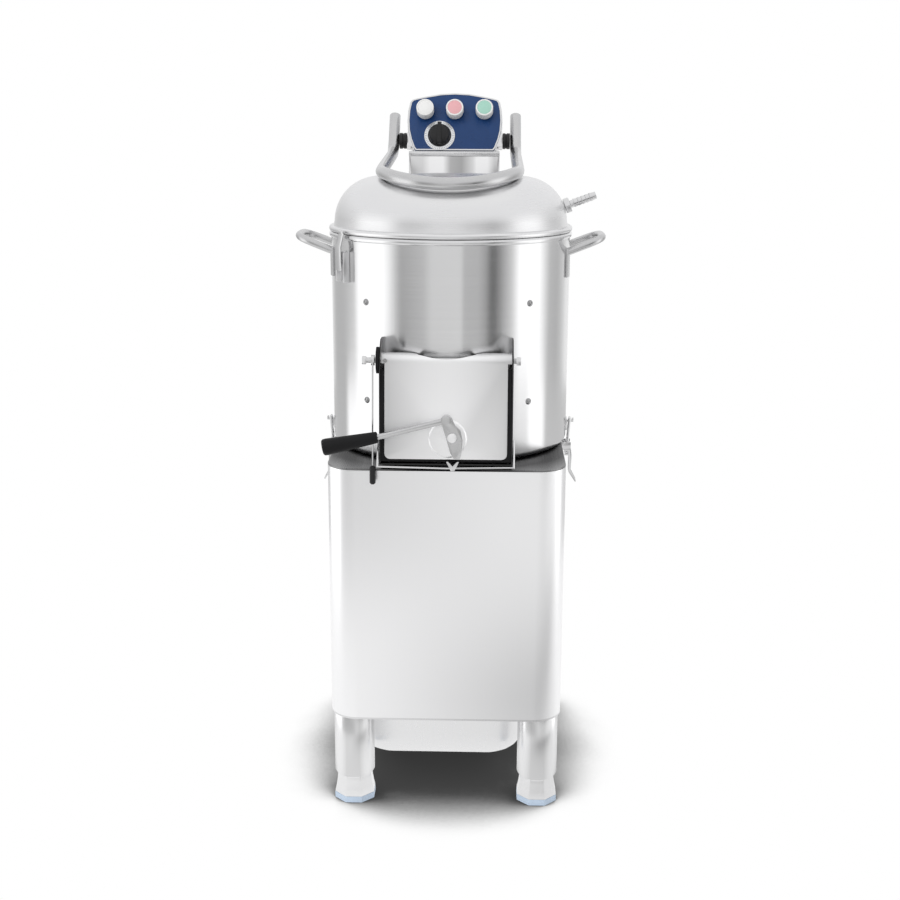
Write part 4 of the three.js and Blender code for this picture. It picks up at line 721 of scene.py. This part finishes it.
class PEELER_OT_lid(Operator):
    """Spin the lid's dome and the barbed water inlet"""
    bl_idname = "peeler.lid"
    bl_label = "Lid"

    def execute(self, context):
        size = context.scene.peeler_lid
        drum = context.scene.peeler_drum
        radius, sheet, knuckle = size.radius, size.sheet, size.knuckle
        crown = radius - knuckle
        overhang, bead_out, bead = 0.0033, 0.004, 0.0087
        base = LID_BASE + bead + 0.005
        rise = LID_TOP - base - knuckle

        def cap(shares, drop=0.0):
            """Points of the shallow cap, at these shares of its radius."""
            return [(crown * s, base + knuckle - drop + rise * (1 - s * s)) for s in shares]
        profile = [(radius - sheet, LID_BASE),
                   *rolled_bead(drum.radius + overhang - bead_out, LID_BASE + bead / 2, bead_out, bead / 2),
                   (radius + 0.0012, LID_BASE + bead + 0.0003), *arc(crown, base, knuckle, 2, 90, 22),
                   *cap((0.85, 0.7, 0.5, 0.3, 0.12)), (0.0001, LID_TOP), (0.0001, LID_TOP - sheet),
                   *cap((0.3, 0.6, 0.85), sheet), *arc(crown, base, knuckle - sheet, 90, 0, 14)]
        turned(closed(profile), drum.turns, (0, 0, 0), UP,
               "lid_shell", "dome", "lid", "satin_steel", "lid_dome", smooth=50)

        inlet_turn = math.radians(20)
        out = Vector((math.cos(inlet_turn), 0, math.sin(inlet_turn)))
        foot = Vector((crown, 0, base)) + out * (knuckle + 0.0003)
        nut = bar_tool(foot, foot + out * 0.009, 0.013, 6)
        apply_bevel(nut, 0.001)
        settle(nut, "inlet_nut", "polished", "lid", "polished_steel")
        tail = [(0.004, 0.006), (0.0059, 0.006), (0.0059, 0.014)]
        for i in range(5):
            height = 0.016 + i * 0.0065
            tail += [(0.00685, height), (0.0059, height + 0.0055)]
        tail += [(0.0057, 0.052), (0.004, 0.052)]
        turned(closed(tail), 28, foot, out,
               "inlet_tail", "polished", "lid", "polished_steel", "lid_spout", smooth=30)
        return {"FINISHED"}


PIVOT_Y, PIVOT_Z = 0.228, 1.026
BUSHING = [(0, 0), (0.0125, 0), (0.0135, 0.001), (0.0135, 0.0045), (0.0125, 0.0052), (0.0125, 0.0068),
           (0.0135, 0.0075), (0.0135, 0.012), (0.0128, 0.0127), (0, 0.0127)]
# The yoke's rear ends: how far back and how high, from the end of the tube forwards.
YOKE_TAIL = ((0.262, 1.068), (0.245, 1.047), (PIVOT_Y, PIVOT_Z), (0.212, 1.0108), (0.196, 1.0045))


class PEELER_OT_yoke(Operator):
    """Bend the lid's yoke from tube, with its pivots"""
    bl_idname = "peeler.yoke"
    bl_label = "Yoke"

    def execute(self, context):
        half, front, sag, front_z = 0.1055, -0.061, 0.014, 0.9852
        back, back_z = YOKE_TAIL[-1]
        right = [(half, y, z) for y, z in YOKE_TAIL]
        right += [(half, back + (front - back) * s, back_z + (front_z - back_z) * s) for s in (0.2, 0.5, 0.8)]
        turns = [math.radians(180 * i / 12) for i in range(13)]
        bow = [(half * math.cos(turn), front - half * math.sin(turn), front_z - sag * math.sin(turn) ** 2)
               for turn in turns]
        left = [(-x, y, z) for x, y, z in reversed(right)]
        yoke = tube_piece(right + bow + left, context.scene.peeler_lid.tube, 7)
        settle(yoke, "lift_yoke", "tube", "lid", "polished_steel", "yoke_handle", smooth=50)
        for side, name in SIDES:
            turned(BUSHING, 40, (side * 0.0829, PIVOT_Y, PIVOT_Z), (side, 0, 0),
                   f"bushing_{name}", "black", "base", "black_plastic", f"pivot_bushing_{name}")
        return {"FINISHED"}


class PEELER_OT_handles(Operator):
    """Bend the drum's two carrying handles and their straps"""
    bl_idname = "peeler.handles"
    bl_label = "Handles"

    def execute(self, context):
        drum = context.scene.peeler_drum.radius
        root, reach, half, level, rise = 0.183, 0.240, 0.050, 0.862, 0.022
        corner = half * 0.78
        line = [(0, half), (0.25, half), (0.55, half), (0.85, (half + corner) / 2), (1, corner * 0.78), (1, 0)]
        points = [(root + (reach - root) * s, -y, level + rise * s) for s, y in line]
        points += [(x, -y, z) for x, y, z in reversed(points[:-1])]
        turn = math.asin(half / drum)
        for side, name in SIDES:
            loop = [tube_piece([(side * x, y, z) for x, y, z in points], 0.006, 6)]
            for way in (1, -1):
                strap = block_tool((-0.0005, -0.008, 0.823), (0.0033, 0.008, 0.868))
                apply_bevel(strap, 0.0012, 3)
                heading = way * turn if side > 0 else math.pi - way * turn
                loop.append(move(strap, Matrix.Translation((side * drum * math.cos(turn), way * half, 0)),
                                 Matrix.Rotation(heading, 4, "Z")))
            loop = join_pieces(loop)
            settle(loop, f"carry_handle_{name}", "tube", "base", "polished_steel", f"handle_{name}", smooth=50)
        return {"FINISHED"}


class PEELER_OT_cabinet(Operator):
    """Fold the cabinet's wrap, deck, floor and rear cover"""
    bl_idname = "peeler.cabinet"
    bl_label = "Cabinet"

    def execute(self, context):
        low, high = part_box("cabinet_shell")
        width, depth = high.x - low.x, high.y - low.y
        back = depth / 2
        wrap = rounded_sheet(width, depth, CABINET_CORNER, low.z, high.z)
        open_ends(wrap, low.z, high.z)
        thicken(wrap, CABINET_SHEET)
        cut_with(wrap, block_tool((-0.140, back - 0.004, 0.185), (0.140, back + 0.004, 0.520)))
        settle(wrap, "cabinet_wrap", "cabinet", "base", "satin_steel", "cabinet_shell", smooth=40)

        low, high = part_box("deck_plate")
        deck = rounded_sheet(width, depth, CABINET_CORNER, low.z, high.z)
        apply_bevel(deck, 0.0012, 3, 60)
        for x, y, radius in ((0, 0, SHAFT_HOLE), (DRAIN_X, 0, DRAIN_HOLE), (0, 0.2095, 0.009)):
            drill(deck, x, y, 0.54, 0.56, radius)
        settle(deck, "deck_sheet", "deck", "base", "satin_steel", "deck_plate", smooth=40)

        floor = rounded_sheet(width, depth, CABINET_CORNER, 0.147, 0.150)
        drill(floor, DRAIN_X, 0, 0.14, 0.16, DRAIN_HOLE)
        settle(floor, "cabinet_base", "sheet", "base", "satin_steel", "cabinet_floor", smooth=40)
        left, right, base = -0.178, 0.152, 0.134
        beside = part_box("filter_pan")[1].y + 0.001
        for side, name in ((1, "rear"), (-1, "front")):
            web = block_tool((left, beside, base), (right, beside + 0.002, 0.1475))
            lip = block_tool((left, beside - 0.013, base), (right, beside + 0.001, base + 0.002))
            rail = join_pieces([web, lip])
            apply_bevel(rail, 0.0004)
            rail.scale = (1, side, 1)
            settle(rail, f"pan_rail_{name}", "sheet", "base", "satin_steel", "cabinet_floor", smooth=40)
            turn_faces_out(rail)

        low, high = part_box("rear_panel")
        cover = block_tool(low, high)
        apply_bevel(cover, 0.0006)
        settle(cover, "rear_cover", "cabinet", "base", "satin_steel", "rear_panel", smooth=40)
        lowest, span = low.z + 2 * COVER_SCREW_IN, high.z - low.z - 4 * COVER_SCREW_IN
        for i in range(4):
            for j, x in enumerate((high.x - COVER_SCREW_IN, low.x + COVER_SCREW_IN)):
                turned(COVER_SCREW, 20, (x, high.y, lowest + span * i / 3), (0, 1, 0),
                       f"cover_screw_{i}_{j}", "screw", "base", "satin_steel")
        return {"FINISHED"}


LEG_OUTER, LEG_INNER = 0.03175, 0.02875
LEG_TUBE = [(0, 0.144), (LEG_INNER, 0.144), (LEG_INNER, 0.0445), (LEG_INNER + 0.001, 0.044),
            (LEG_OUTER - 0.002, 0.044), (LEG_OUTER, 0.0475), (LEG_OUTER, 0.146), (LEG_OUTER - 0.0008, 0.147),
            (0, 0.147)]
FOOT_NECK = [(0, 0.040), (0.0270, 0.040), (0.02805, 0.041), (0.02805, 0.080), (0, 0.080)]
# The foot above its pad: each level, and how wide it is there next to the level before.
FOOT_FLARE = ((0.022, 0.93), (0.034, 0.94), (0.046, 0.96))


class PEELER_OT_legs(Operator):
    """Turn the four legs and their octagonal levelling feet"""
    bl_idname = "peeler.legs"
    bl_label = "Legs"

    def execute(self, context):
        for place in ("front_left", "front_right", "rear_left", "rear_right"):
            low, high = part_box(f"leg_{place}")
            middle = (low.x + high.x) / 2, (low.y + high.y) / 2, 0
            turned(LEG_TUBE, 72, middle, UP,
                   f"leg_tube_{place}", "leg", "base", "satin_steel", f"leg_{place}", smooth=50)

            pad = octagon(0.034, 0, 0.010)
            apply_bevel(pad, 0.0009)
            pad.location = middle
            settle(pad, f"foot_pad_{place}", "pad", f"foot_{place}", "foot_steel", f"foot_{place}")

            height = 0.0122
            flare = octagon(0.0337, 0.0102, height)
            select_faces(flare, lambda face: face.normal.z > 0.9)
            for level, scale in FOOT_FLARE:
                extrude((0, 0, level - height))
                bpy.ops.transform.resize(value=(scale, scale, 1))
                height = level
            leave_faces()
            apply_bevel(flare, 0.0008, 2, 15)
            flare.location = middle
            settle(flare, f"foot_flare_{place}", "foot", f"foot_{place}", "foot_steel", smooth=20)
            turned(FOOT_NECK, 64, middle, UP, f"foot_neck_{place}", "foot", f"foot_{place}", "foot_steel")
        return {"FINISHED"}


class PEELER_OT_pan(Operator):
    """Draw the waste pan down from its flat rim"""
    bl_idname = "peeler.pan"
    bl_label = "Waste pan"

    def execute(self, context):
        low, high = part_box("filter_pan")
        middle = (low + high) / 2
        width, depth = high.x - low.x, high.y - low.y
        sheet, out, up, taper, flange, lead = 0.0015, 0.058, 0.050, 0.009, 0.029, 0.001
        rim, body, narrow = width - sheet, width - flange - sheet, width - depth
        top, base = high.z - sheet / 2, low.z + sheet / 2
        wall = body - 2 * taper
        rings = [(body, top), (body - 0.004, top - 0.004), (wall, base + up)]
        for i in range(1, 9):
            turn = math.radians(90 * i / 8)
            rings.append((wall - 2 * out * (1 - math.cos(turn)), base + up * (1 - math.sin(turn))))
        pan = rounded_sheet(rim, rim - narrow, 0.050, top, top + lead, 10)
        open_ends(pan, top)
        select_faces(pan, lambda face: abs(face.normal.z) > 0.9)
        at, height = rim, top + lead
        for ring, level in rings:
            extrude((0, 0, level - height))
            bpy.ops.transform.resize(value=(ring / at, (ring - narrow) / (at - narrow), 1))
            at, height = ring, level
        leave_faces()
        pan.location = (middle.x, middle.y, 0)
        bake()
        thicken(pan, sheet, 0)
        turn_faces_out(pan)
        apply_bevel(pan, 0.0004, 1, 50)
        settle(pan, "waste_tub", "pan", "filter_pan", "satin_steel", "filter_pan", smooth=50)
        return {"FINISHED"}


def door_place():
    """Where the door's own frame stands: origin on the rod, -Y out of the panel, Z up along it."""
    return Matrix.Translation((0, -0.205, 0.716)) @ Matrix.Rotation(math.radians(-7), 4, "X")


# CAD nodes that are copied: node, name of the piece, finish, body, slot, width of the softened edges.
DOOR_COPIES = [
    ("outlet_frame", "outlet_cheeks", "cheek", "base", "satin_steel", 0.0004),
    ("door_panel", "door_leaf", "door", "door", "satin_steel", 0.0005),
    ("door_seal", "door_gasket", "rubber", "door", "black_rubber", 0.0012),
    ("hinge_rod", "door_rod", "polished", "door", "polished_steel", 0.0005),
    ("sensor_arm", "sensor_rod", "polished", "door", "polished_steel", 0.0002),
    ("sensor_magnet", "sensor_cap", "black", "door", "black_plastic", 0.0003),
    ("latch_lever", "cam_lever", "latch", "latch", "polished_steel", 0.0005),
    ("latch_wire", "wire_bow", "polished", "base", "polished_steel", 0.0003),
]
CATCH_COPIES = [
    ("lid_keeper", "catch_channel", "sheet", "base", "satin_steel", 0.0004),
    ("lid_hasp", "catch_hasp", "polished", "hasp", "polished_steel", 0.0004),
]
for _, name in SIDES:
    lever, rod = f"clamp_lever_{name}", f"clamp_rod_{name}"
    CATCH_COPIES += [
        (f"clamp_keeper_{name}", f"clamp_hook_{name}", "polished", "base", "satin_steel", 0.0003),
        (f"clamp_base_{name}", f"clamp_seat_{name}", "polished", "base", "satin_steel", 0.0003),
        (lever, f"clamp_arm_{name}", "polished", lever, "polished_steel", 0.0003),
        (rod, f"clamp_link_{name}", "polished", rod, "polished_steel", 0.0002),
    ]
WASHER = [(0.0062, 0), (0.0198, 0), (0.0198, 0.0041), (0.0062, 0.0041)]
CURL_SCREW = [(0, 0), (0.0032, 0), (0.0032, 0.0020), (0.0014, 0.0020), (0.0014, 0.0010), (0, 0.0010)]


class PEELER_OT_door(Operator):
    """Hang the outlet door on its rod, with seal, latch and sensor"""
    bl_idname = "peeler.door"
    bl_label = "Outlet door"

    def execute(self, context):
        for row in DOOR_COPIES:
            copied_node(*row)
        place = door_place()
        turned(closed(WASHER), 48, place @ Vector((-0.1038, 0, 0)), (1, 0, 0),
               "hinge_washer", "rubber", "door", "black_rubber")
        turned(CURL_SCREW, 24, place @ Vector((-0.0905, -0.0104, 0)), (0, -1, 0),
               "curl_screw", "screw", "door", "polished_steel")
        start = place @ Vector((-0.100, -0.0267, -0.11209))
        end = place @ Vector((-0.181, -0.0267, -0.12821))
        length, bore = (end - start).length, 0.0048
        profile = [(bore, 0), (0.0072, 0), (0.0085, 0.0012), (0.0092, 0.012), (0.0104, 0.035), (0.0118, 0.062),
                   (0.0125, length - 0.006), (0.0122, length - 0.0018), (0.0105, length), (0, length),
                   (0, 0.030), (bore, 0.030), (bore, 0)]
        turned(profile, 48, start, end - start,
               "latch_grip", "grip", "latch", "black_plastic", "lever_grip", smooth=40)
        return {"FINISHED"}


class PEELER_OT_catches(Operator):
    """Set the lid's catch and the two toggle clamps"""
    bl_idname = "peeler.catches"
    bl_label = "Catches"

    def execute(self, context):
        for row in CATCH_COPIES:
            copied_node(*row)
        return {"FINISHED"}


def head_place():
    """Where the control head's own frame stands: -Y out of the fascia, Z up along it."""
    return Matrix.Translation((0, 0.228, 1.057)) @ Matrix.Rotation(math.radians(-22), 4, "X")


HEAD_COPIES = [
    ("rear_column", "rear_post", "neck", "base", "satin_steel", 0.0008),
    ("head_housing", "head_case", "case", "base", "satin_steel", 0.0006),
    ("head_fascia", "head_face", "enamel", "base", "blue_paint", 0.0006),
]
# Profiles of the pieces that are turned on the fascia: radius, and height above its face.
COLLAR = [(0, -0.0015), (0.010, -0.0015), (0.010, 0.0046), (0.0142, 0.0046), (0.015, 0.0056), (0.015, 0.0215),
          (0.0146, 0.0226), (0.0138, 0.0230), (0.0124, 0.0230), (0.0121, 0.0224), (0, 0.0224)]
INSERT = [(0, 0.0220), (0.01205, 0.0220), (0.01205, 0.0227), (0.0117, 0.0229), (0, 0.0229)]
KNOB = [(0, -0.0015), (0.004, -0.0015), (0.004, 0.0018), (0.0203, 0.0018), (0.0203, 0.0038), (0.0190, 0.0048),
        (0.0183, 0.0093), (0.0165, 0.0138), (0.0125, 0.0166), (0, 0.0168)]
BUTTONS = (("left", "white"), ("middle", "pink"), ("right", "mint"))
BUTTON_GAP, BUTTON_UP = 0.051, 0.019
KNOB_X, KNOB_Z = -0.026, -0.0237
DIAL_MARKS = 48


class PEELER_OT_head(Operator):
    """Build the rear column and the control head with its buttons and timer"""
    bl_idname = "peeler.head"
    bl_label = "Control head"

    def rim_round(self, face):
        """A narrow steel rim on the edge of the enamelled fascia."""
        choose(bpy.data.objects[face])
        bpy.ops.object.duplicate()
        rim = bpy.context.object
        out = head_place().to_3x3() @ Vector((0, -1, 0))
        select_faces(rim, lambda part: part.normal.dot(out) > 0.99)
        bpy.ops.mesh.select_all(action="INVERT")
        bpy.ops.mesh.delete(type="FACE")
        bpy.ops.mesh.select_all(action="SELECT")
        bpy.ops.mesh.inset(thickness=0.0022, use_boundary=True, use_even_offset=True)
        bpy.ops.mesh.delete(type="FACE")
        leave_faces()
        back = head_place().inverted()

        def round_a_hole(part):
            across, _, up = back @ part.center
            return abs(across) < 0.068 and abs(up) < 0.036
        delete_faces(rim, round_a_hole)
        thicken(rim, 0.0006, 1)
        settle(rim, "fascia_rim", "polished", "base", "satin_steel")

    def marks_round(self, centre):
        """The dial's lines, each fourth one longer."""
        marks = []
        for i in range(DIAL_MARKS):
            inner = 0.0225 if i % 4 else 0.0215
            mark = block_tool((inner, -0.0002, -0.0017), (0.0255, 0.0002, -0.00145))
            marks.append(move(mark, Matrix.Translation(centre), head_place().to_3x3().to_4x4(),
                              Matrix.Rotation(math.tau * i / DIAL_MARKS - math.pi / 2, 4, "Y"),
                              Matrix.Rotation(-math.pi / 2, 4, "X")))
        settle(join_pieces(marks), "dial_marks", "ink", "base", "pale_metal")

    def execute(self, context):
        for row in HEAD_COPIES:
            copied_node(*row)
        self.rim_round("head_face")
        copied_node("dial_ring", "timer_dial", "dial", "base", "pale_metal", 0.0003)
        place = head_place()
        out = place.to_3x3() @ Vector((0, -1, 0))
        for i, (name, tint) in enumerate(BUTTONS):
            centre = place @ Vector(((i - 1) * BUTTON_GAP, 0, BUTTON_UP))
            turned(COLLAR, 64, centre, out,
                   f"push_collar_{name}", "white", f"button_{name}", "white_plastic", f"button_{name}")
            turned(INSERT, 64, centre, out, f"push_face_{name}", tint, f"button_{name}", "white_plastic")
        centre = place @ Vector((KNOB_X, 0, KNOB_Z))
        body = turned_piece(KNOB, 72, centre, out)
        ridge = block_tool((-0.0034, -0.0186, 0.004), (0.0034, 0.0186, 0.0188))
        apply_bevel(ridge, 0.0012, 3)
        knob = join_pieces([body, move(ridge, stood(centre, out))])
        settle(knob, "timer_dial_knob", "black", "timer_knob", "black_plastic", "timer_knob")
        self.marks_round(centre)
        return {"FINISHED"}


GLAND_DOME = [(0.004, 0.0075), (0.0096, 0.0075), (0.0096, 0.0165), (0.0088, 0.0195), (0.0065, 0.0216),
              (0.0045, 0.022), (0.004, 0.022)]


class PEELER_OT_fittings(Operator):
    """Turn the drain pipe and the gland for the mains lead"""
    bl_idname = "peeler.fittings"
    bl_label = "Drain and gland"

    def execute(self, context):
        low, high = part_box("drain_pipe")
        inner, outer, edge = 0.018, 0.020, 0.0005
        profile = [(inner, low.z), (outer - edge, low.z), (outer, low.z + edge), (outer, high.z), (inner, high.z)]
        turned(closed(profile), 48, (DRAIN_X, 0, 0), UP,
               "drain_tube", "sheet", "base", "satin_steel", "drain_pipe")
        low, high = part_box("cable_gland")
        foot = Vector(((low.x + high.x) / 2, low.y, (low.z + high.z) / 2))
        nut = bar_tool(foot, foot + Vector((0, 0.0077, 0)), 0.012, 6)
        apply_bevel(nut, 0.0008)
        dome = turned_piece(closed(GLAND_DOME), 36, foot, (0, 1, 0))
        gland = join_pieces([nut, dome])
        settle(gland, "lead_gland", "rubber", "base", "black_rubber", "cable_gland")
        return {"FINISHED"}


# Studio

# Brightness of the light tent at each turn from the front, in degrees to the right.
TENT_BANDS = [
    (-180, 0.85), (-152, 0.78), (-138, 0.57), (-120, 0.58), (-109, 0.66), (-98, 0.80), (-91, 1.40), (-62, 1.50),
    (-55, 1.20), (-48, 0.70), (-43, 0.44), (-34, 0.50), (-22, 0.60), (-15, 0.80), (11, 0.80), (13, 0.55),
    (26, 0.54), (33, 0.36), (37, 0.11), (41, 0.10), (45, 0.26), (51, 0.50), (58, 0.80), (66, 1.50), (88, 1.50),
    (98, 0.95), (105, 0.62), (118, 0.56), (128, 0.68), (143, 0.95), (180, 0.85),
]
# The same near the floor, as the cabinet mirrors it, and the heights between which one passes into the other.
LOW_BANDS = [
    (-180, 0.60), (-116, 0.60), (-110, 1.50), (-66, 1.50), (-58, 0.66), (-12, 0.66), (0, 0.80), (10, 0.98),
    (20, 0.88), (34, 0.88), (44, 1.00), (76, 1.00), (82, 1.50), (98, 1.50), (104, 0.70), (180, 0.60),
]
LOW_TOP = (0.365, 0.390)
TENT_STRENGTH = 1.6
TENT_RADIUS, TENT_HEIGHT = 1.35, 2.6
TENT_FADE = (0.75, 1.45)
TENT_CROWN = (0.60, 0.60, 0.605, 1)

# Brightness of the floor as seen, by how open it is, which paints the machine's shadow on it, and as the steel
# mirrors it:
# from far in front to under the machine, at the machine's left and at its right.
FLOOR_SHADE = [(0.10, 0.035), (0.42, 0.06), (0.56, 0.27), (0.66, 0.64), (0.72, 0.90), (0.78, 1.0)]
FLOOR_LEFT = [(0.0, 0.60), (0.07, 0.66), (0.49, 1.0), (0.75, 1.0), (1.0, 1.0)]
FLOOR_RIGHT = [(0.0, 1.0), (0.07, 1.0), (0.49, 0.88), (0.75, 0.42), (0.87, 0.80), (1.0, 1.0)]
FLOOR_AHEAD = -2.4
FLOOR_HALF = 0.22
SHADE_REACH = 0.24

KEY_PLACE, KEY_AIM, KEY_SIZE = (-1.3, -2.0, 2.3), Vector((0, 0, 0.6)), 1.6
SENSOR = 36


def emission_finish(name):
    """A material without its Principled shader, for the studio's cards."""
    card = bpy.data.materials.new(name)
    card.use_nodes = True
    tree = card.node_tree
    tree.nodes.remove(tree.nodes["Principled BSDF"])
    return card, tree, tree.nodes["Material Output"]


def add_sight(tree):
    """Is a ray sent by the camera, a mirror or glass, and is it the camera's own."""
    path = add_node(tree, "LightPath").outputs
    seen = add_math(tree, "MAXIMUM", path["Is Camera Ray"], path["Is Glossy Ray"])
    return add_math(tree, "MAXIMUM", seen, path["Is Transmission Ray"]), path["Is Camera Ray"]


def add_tent_ramp(tree, around, bands):
    return add_ramp(tree, around, [(angle / 360 + 0.5, level / TENT_STRENGTH) for angle, level in bands])


class PEELER_OT_studio(Operator):
    """Lay the pale floor, hang the light tent and the lamp, and place the camera"""
    bl_idname = "peeler.studio"
    bl_label = "Studio"

    def lay_floor(self, edge):
        deselect()
        bpy.ops.mesh.primitive_plane_add(size=edge, location=(0, 0, 0))
        floor = bpy.context.object
        floor.name = "studio_floor"
        card, tree, output = emission_finish("studio floor")
        sight, camera = add_sight(tree)
        place = add_split(tree, add_node(tree, "TexCoord").outputs["Object"])
        ahead = add_range(tree, place["Y"], FLOOR_AHEAD, 0.0)
        across = add_range(tree, place["X"], -FLOOR_HALF, FLOOR_HALF)
        mirrored = add_mix(tree, across, add_ramp(tree, ahead, FLOOR_LEFT), add_ramp(tree, ahead, FLOOR_RIGHT))
        # Painted shadow: the floor as seen is darkened by how near the machine is above it.
        near = add_node(tree, "AmbientOcclusion", {"Distance": SHADE_REACH}, samples=32)
        shown = add_mix(tree, camera, mirrored, add_ramp(tree, near.outputs["AO"], FLOOR_SHADE))
        matt = add_node(tree, "BsdfDiffuse", {"Color": (0.80, 0.80, 0.80, 1)})
        bright = add_node(tree, "Emission", {"Color": shown})
        wire(tree, output, {"Surface": add_node(tree, "MixShader", {0: sight, 1: matt, 2: bright})})
        floor.data.materials.append(card)

    def hang_tent(self):
        deselect()
        bpy.ops.mesh.primitive_cylinder_add(vertices=96, radius=TENT_RADIUS, depth=TENT_HEIGHT,
                                            location=(0, 0, TENT_HEIGHT / 2), end_fill_type="NOTHING")
        tent = bpy.context.object
        bake()
        tent.name = "light_tent"
        card, tree, output = emission_finish("tent cloth")
        coords = add_node(tree, "TexCoord").outputs
        turn = add_node(tree, "Mapping", {"Vector": coords["Object"], "Rotation": (0, 0, math.radians(90))})
        around = add_node(tree, "TexGradient", {"Vector": turn}, gradient_type="RADIAL").outputs["Fac"]
        height = add_split(tree, coords["Object"])["Z"]
        level = add_mix(tree, add_range(tree, height, *LOW_TOP), add_tent_ramp(tree, around, LOW_BANDS),
                        add_tent_ramp(tree, around, TENT_BANDS))
        fade = add_mix(tree, add_range(tree, height, *TENT_FADE), level, TENT_CROWN)
        wire(tree, output, {"Surface": add_node(tree, "Emission", {"Color": fade, "Strength": TENT_STRENGTH})})
        tent.data.materials.append(card)
        for sense in ("camera", "diffuse", "shadow", "transmission", "volume_scatter"):
            setattr(tent, f"visible_{sense}", False)

    def light_world(self, scene, level):
        world = bpy.data.worlds.new("studio light")
        world.use_nodes = True
        scene.world = world
        tree = world.node_tree
        background = tree.nodes["Background"]
        wire(tree, background, {"Color": (1, 1, 1, 1), "Strength": level})
        white = add_node(tree, "Background", {"Color": (1, 1, 1, 1), "Strength": 1.0})
        mix = add_node(tree, "MixShader", {0: add_sight(tree)[0], 1: background, 2: white})
        wire(tree, tree.nodes["World Output"], {"Surface": mix})

    def hang_lamp(self, power):
        deselect()
        bpy.ops.object.light_add(type="AREA", location=KEY_PLACE)
        key = bpy.context.object
        key.name = "soft_key"
        key.data.size = KEY_SIZE
        key.data.energy = power
        key.rotation_mode = "QUATERNION"
        key.rotation_quaternion = (KEY_AIM - key.location).to_track_quat("-Z", "Y")
        key.visible_glossy = False

    def place_camera(self, scene, size):
        turn, away = size.camera_turn, size.camera_distance
        bpy.ops.object.camera_add(location=(away * math.sin(turn), -away * math.cos(turn), size.camera_height))
        camera = bpy.context.object
        camera.name = "studio_camera"
        camera.data.sensor_width = SENSOR
        camera.data.lens = size.lens
        camera.rotation_mode = "XYZ"
        camera.matrix_world = (Matrix.Translation(camera.location) @ Matrix.Rotation(turn, 4, "Z")
                               @ Matrix.Rotation(math.pi / 2 - size.camera_pitch, 4, "X")
                               @ Matrix.Rotation(size.camera_roll, 4, "Z"))
        scene.camera = camera
        scene.view_settings.view_transform = "Standard"

    def execute(self, context):
        size = context.scene.peeler_stage
        self.lay_floor(size.floor_size)
        self.hang_tent()
        self.light_world(context.scene, size.sky_level)
        self.hang_lamp(size.key_power)
        self.place_camera(context.scene, size)
        return {"FINISHED"}


class PEELER_PT_panel(Panel):
    """Lists the sizes, the finishes and the steps that build the peeler"""
    bl_idname = "PEELER_PT_panel"
    bl_label = "Potato Peeler"
    bl_space_type = "VIEW_3D"
    bl_region_type = "UI"
    bl_category = "Peeler"

    def draw(self, context):
        layout = self.layout
        for place in GROUPS:
            box, group = layout.box(), getattr(context.scene, place)
            for name in group.__annotations__:
                box.prop(group, name)
        for step in STEPS:
            layout.operator(step.bl_idname)


STEPS = [
    PEELER_OT_studio, PEELER_OT_finishes, PEELER_OT_drum, PEELER_OT_lid, PEELER_OT_yoke, PEELER_OT_handles,
    PEELER_OT_cabinet, PEELER_OT_legs, PEELER_OT_pan, PEELER_OT_door, PEELER_OT_catches, PEELER_OT_head,
    PEELER_OT_fittings,
]
GROUPS = {"peeler_stage": StageSizes, "peeler_drum": DrumSizes, "peeler_lid": LidSizes,
          "peeler_finish": FinishColours}
CLASSES = [*GROUPS.values(), *STEPS, PEELER_PT_panel]


def register():
    for cls in CLASSES:
        bpy.utils.register_class(cls)
    for place, group in GROUPS.items():
        setattr(bpy.types.Scene, place, PointerProperty(type=group))


def unregister():
    for place in GROUPS:
        delattr(bpy.types.Scene, place)
    for cls in reversed(CLASSES):
        bpy.utils.unregister_class(cls)


def main():
    register()
    for step in STEPS:
        group, name = step.bl_idname.split(".")
        getattr(getattr(bpy.ops, group), name)()


if __name__ == "__main__":
    main()
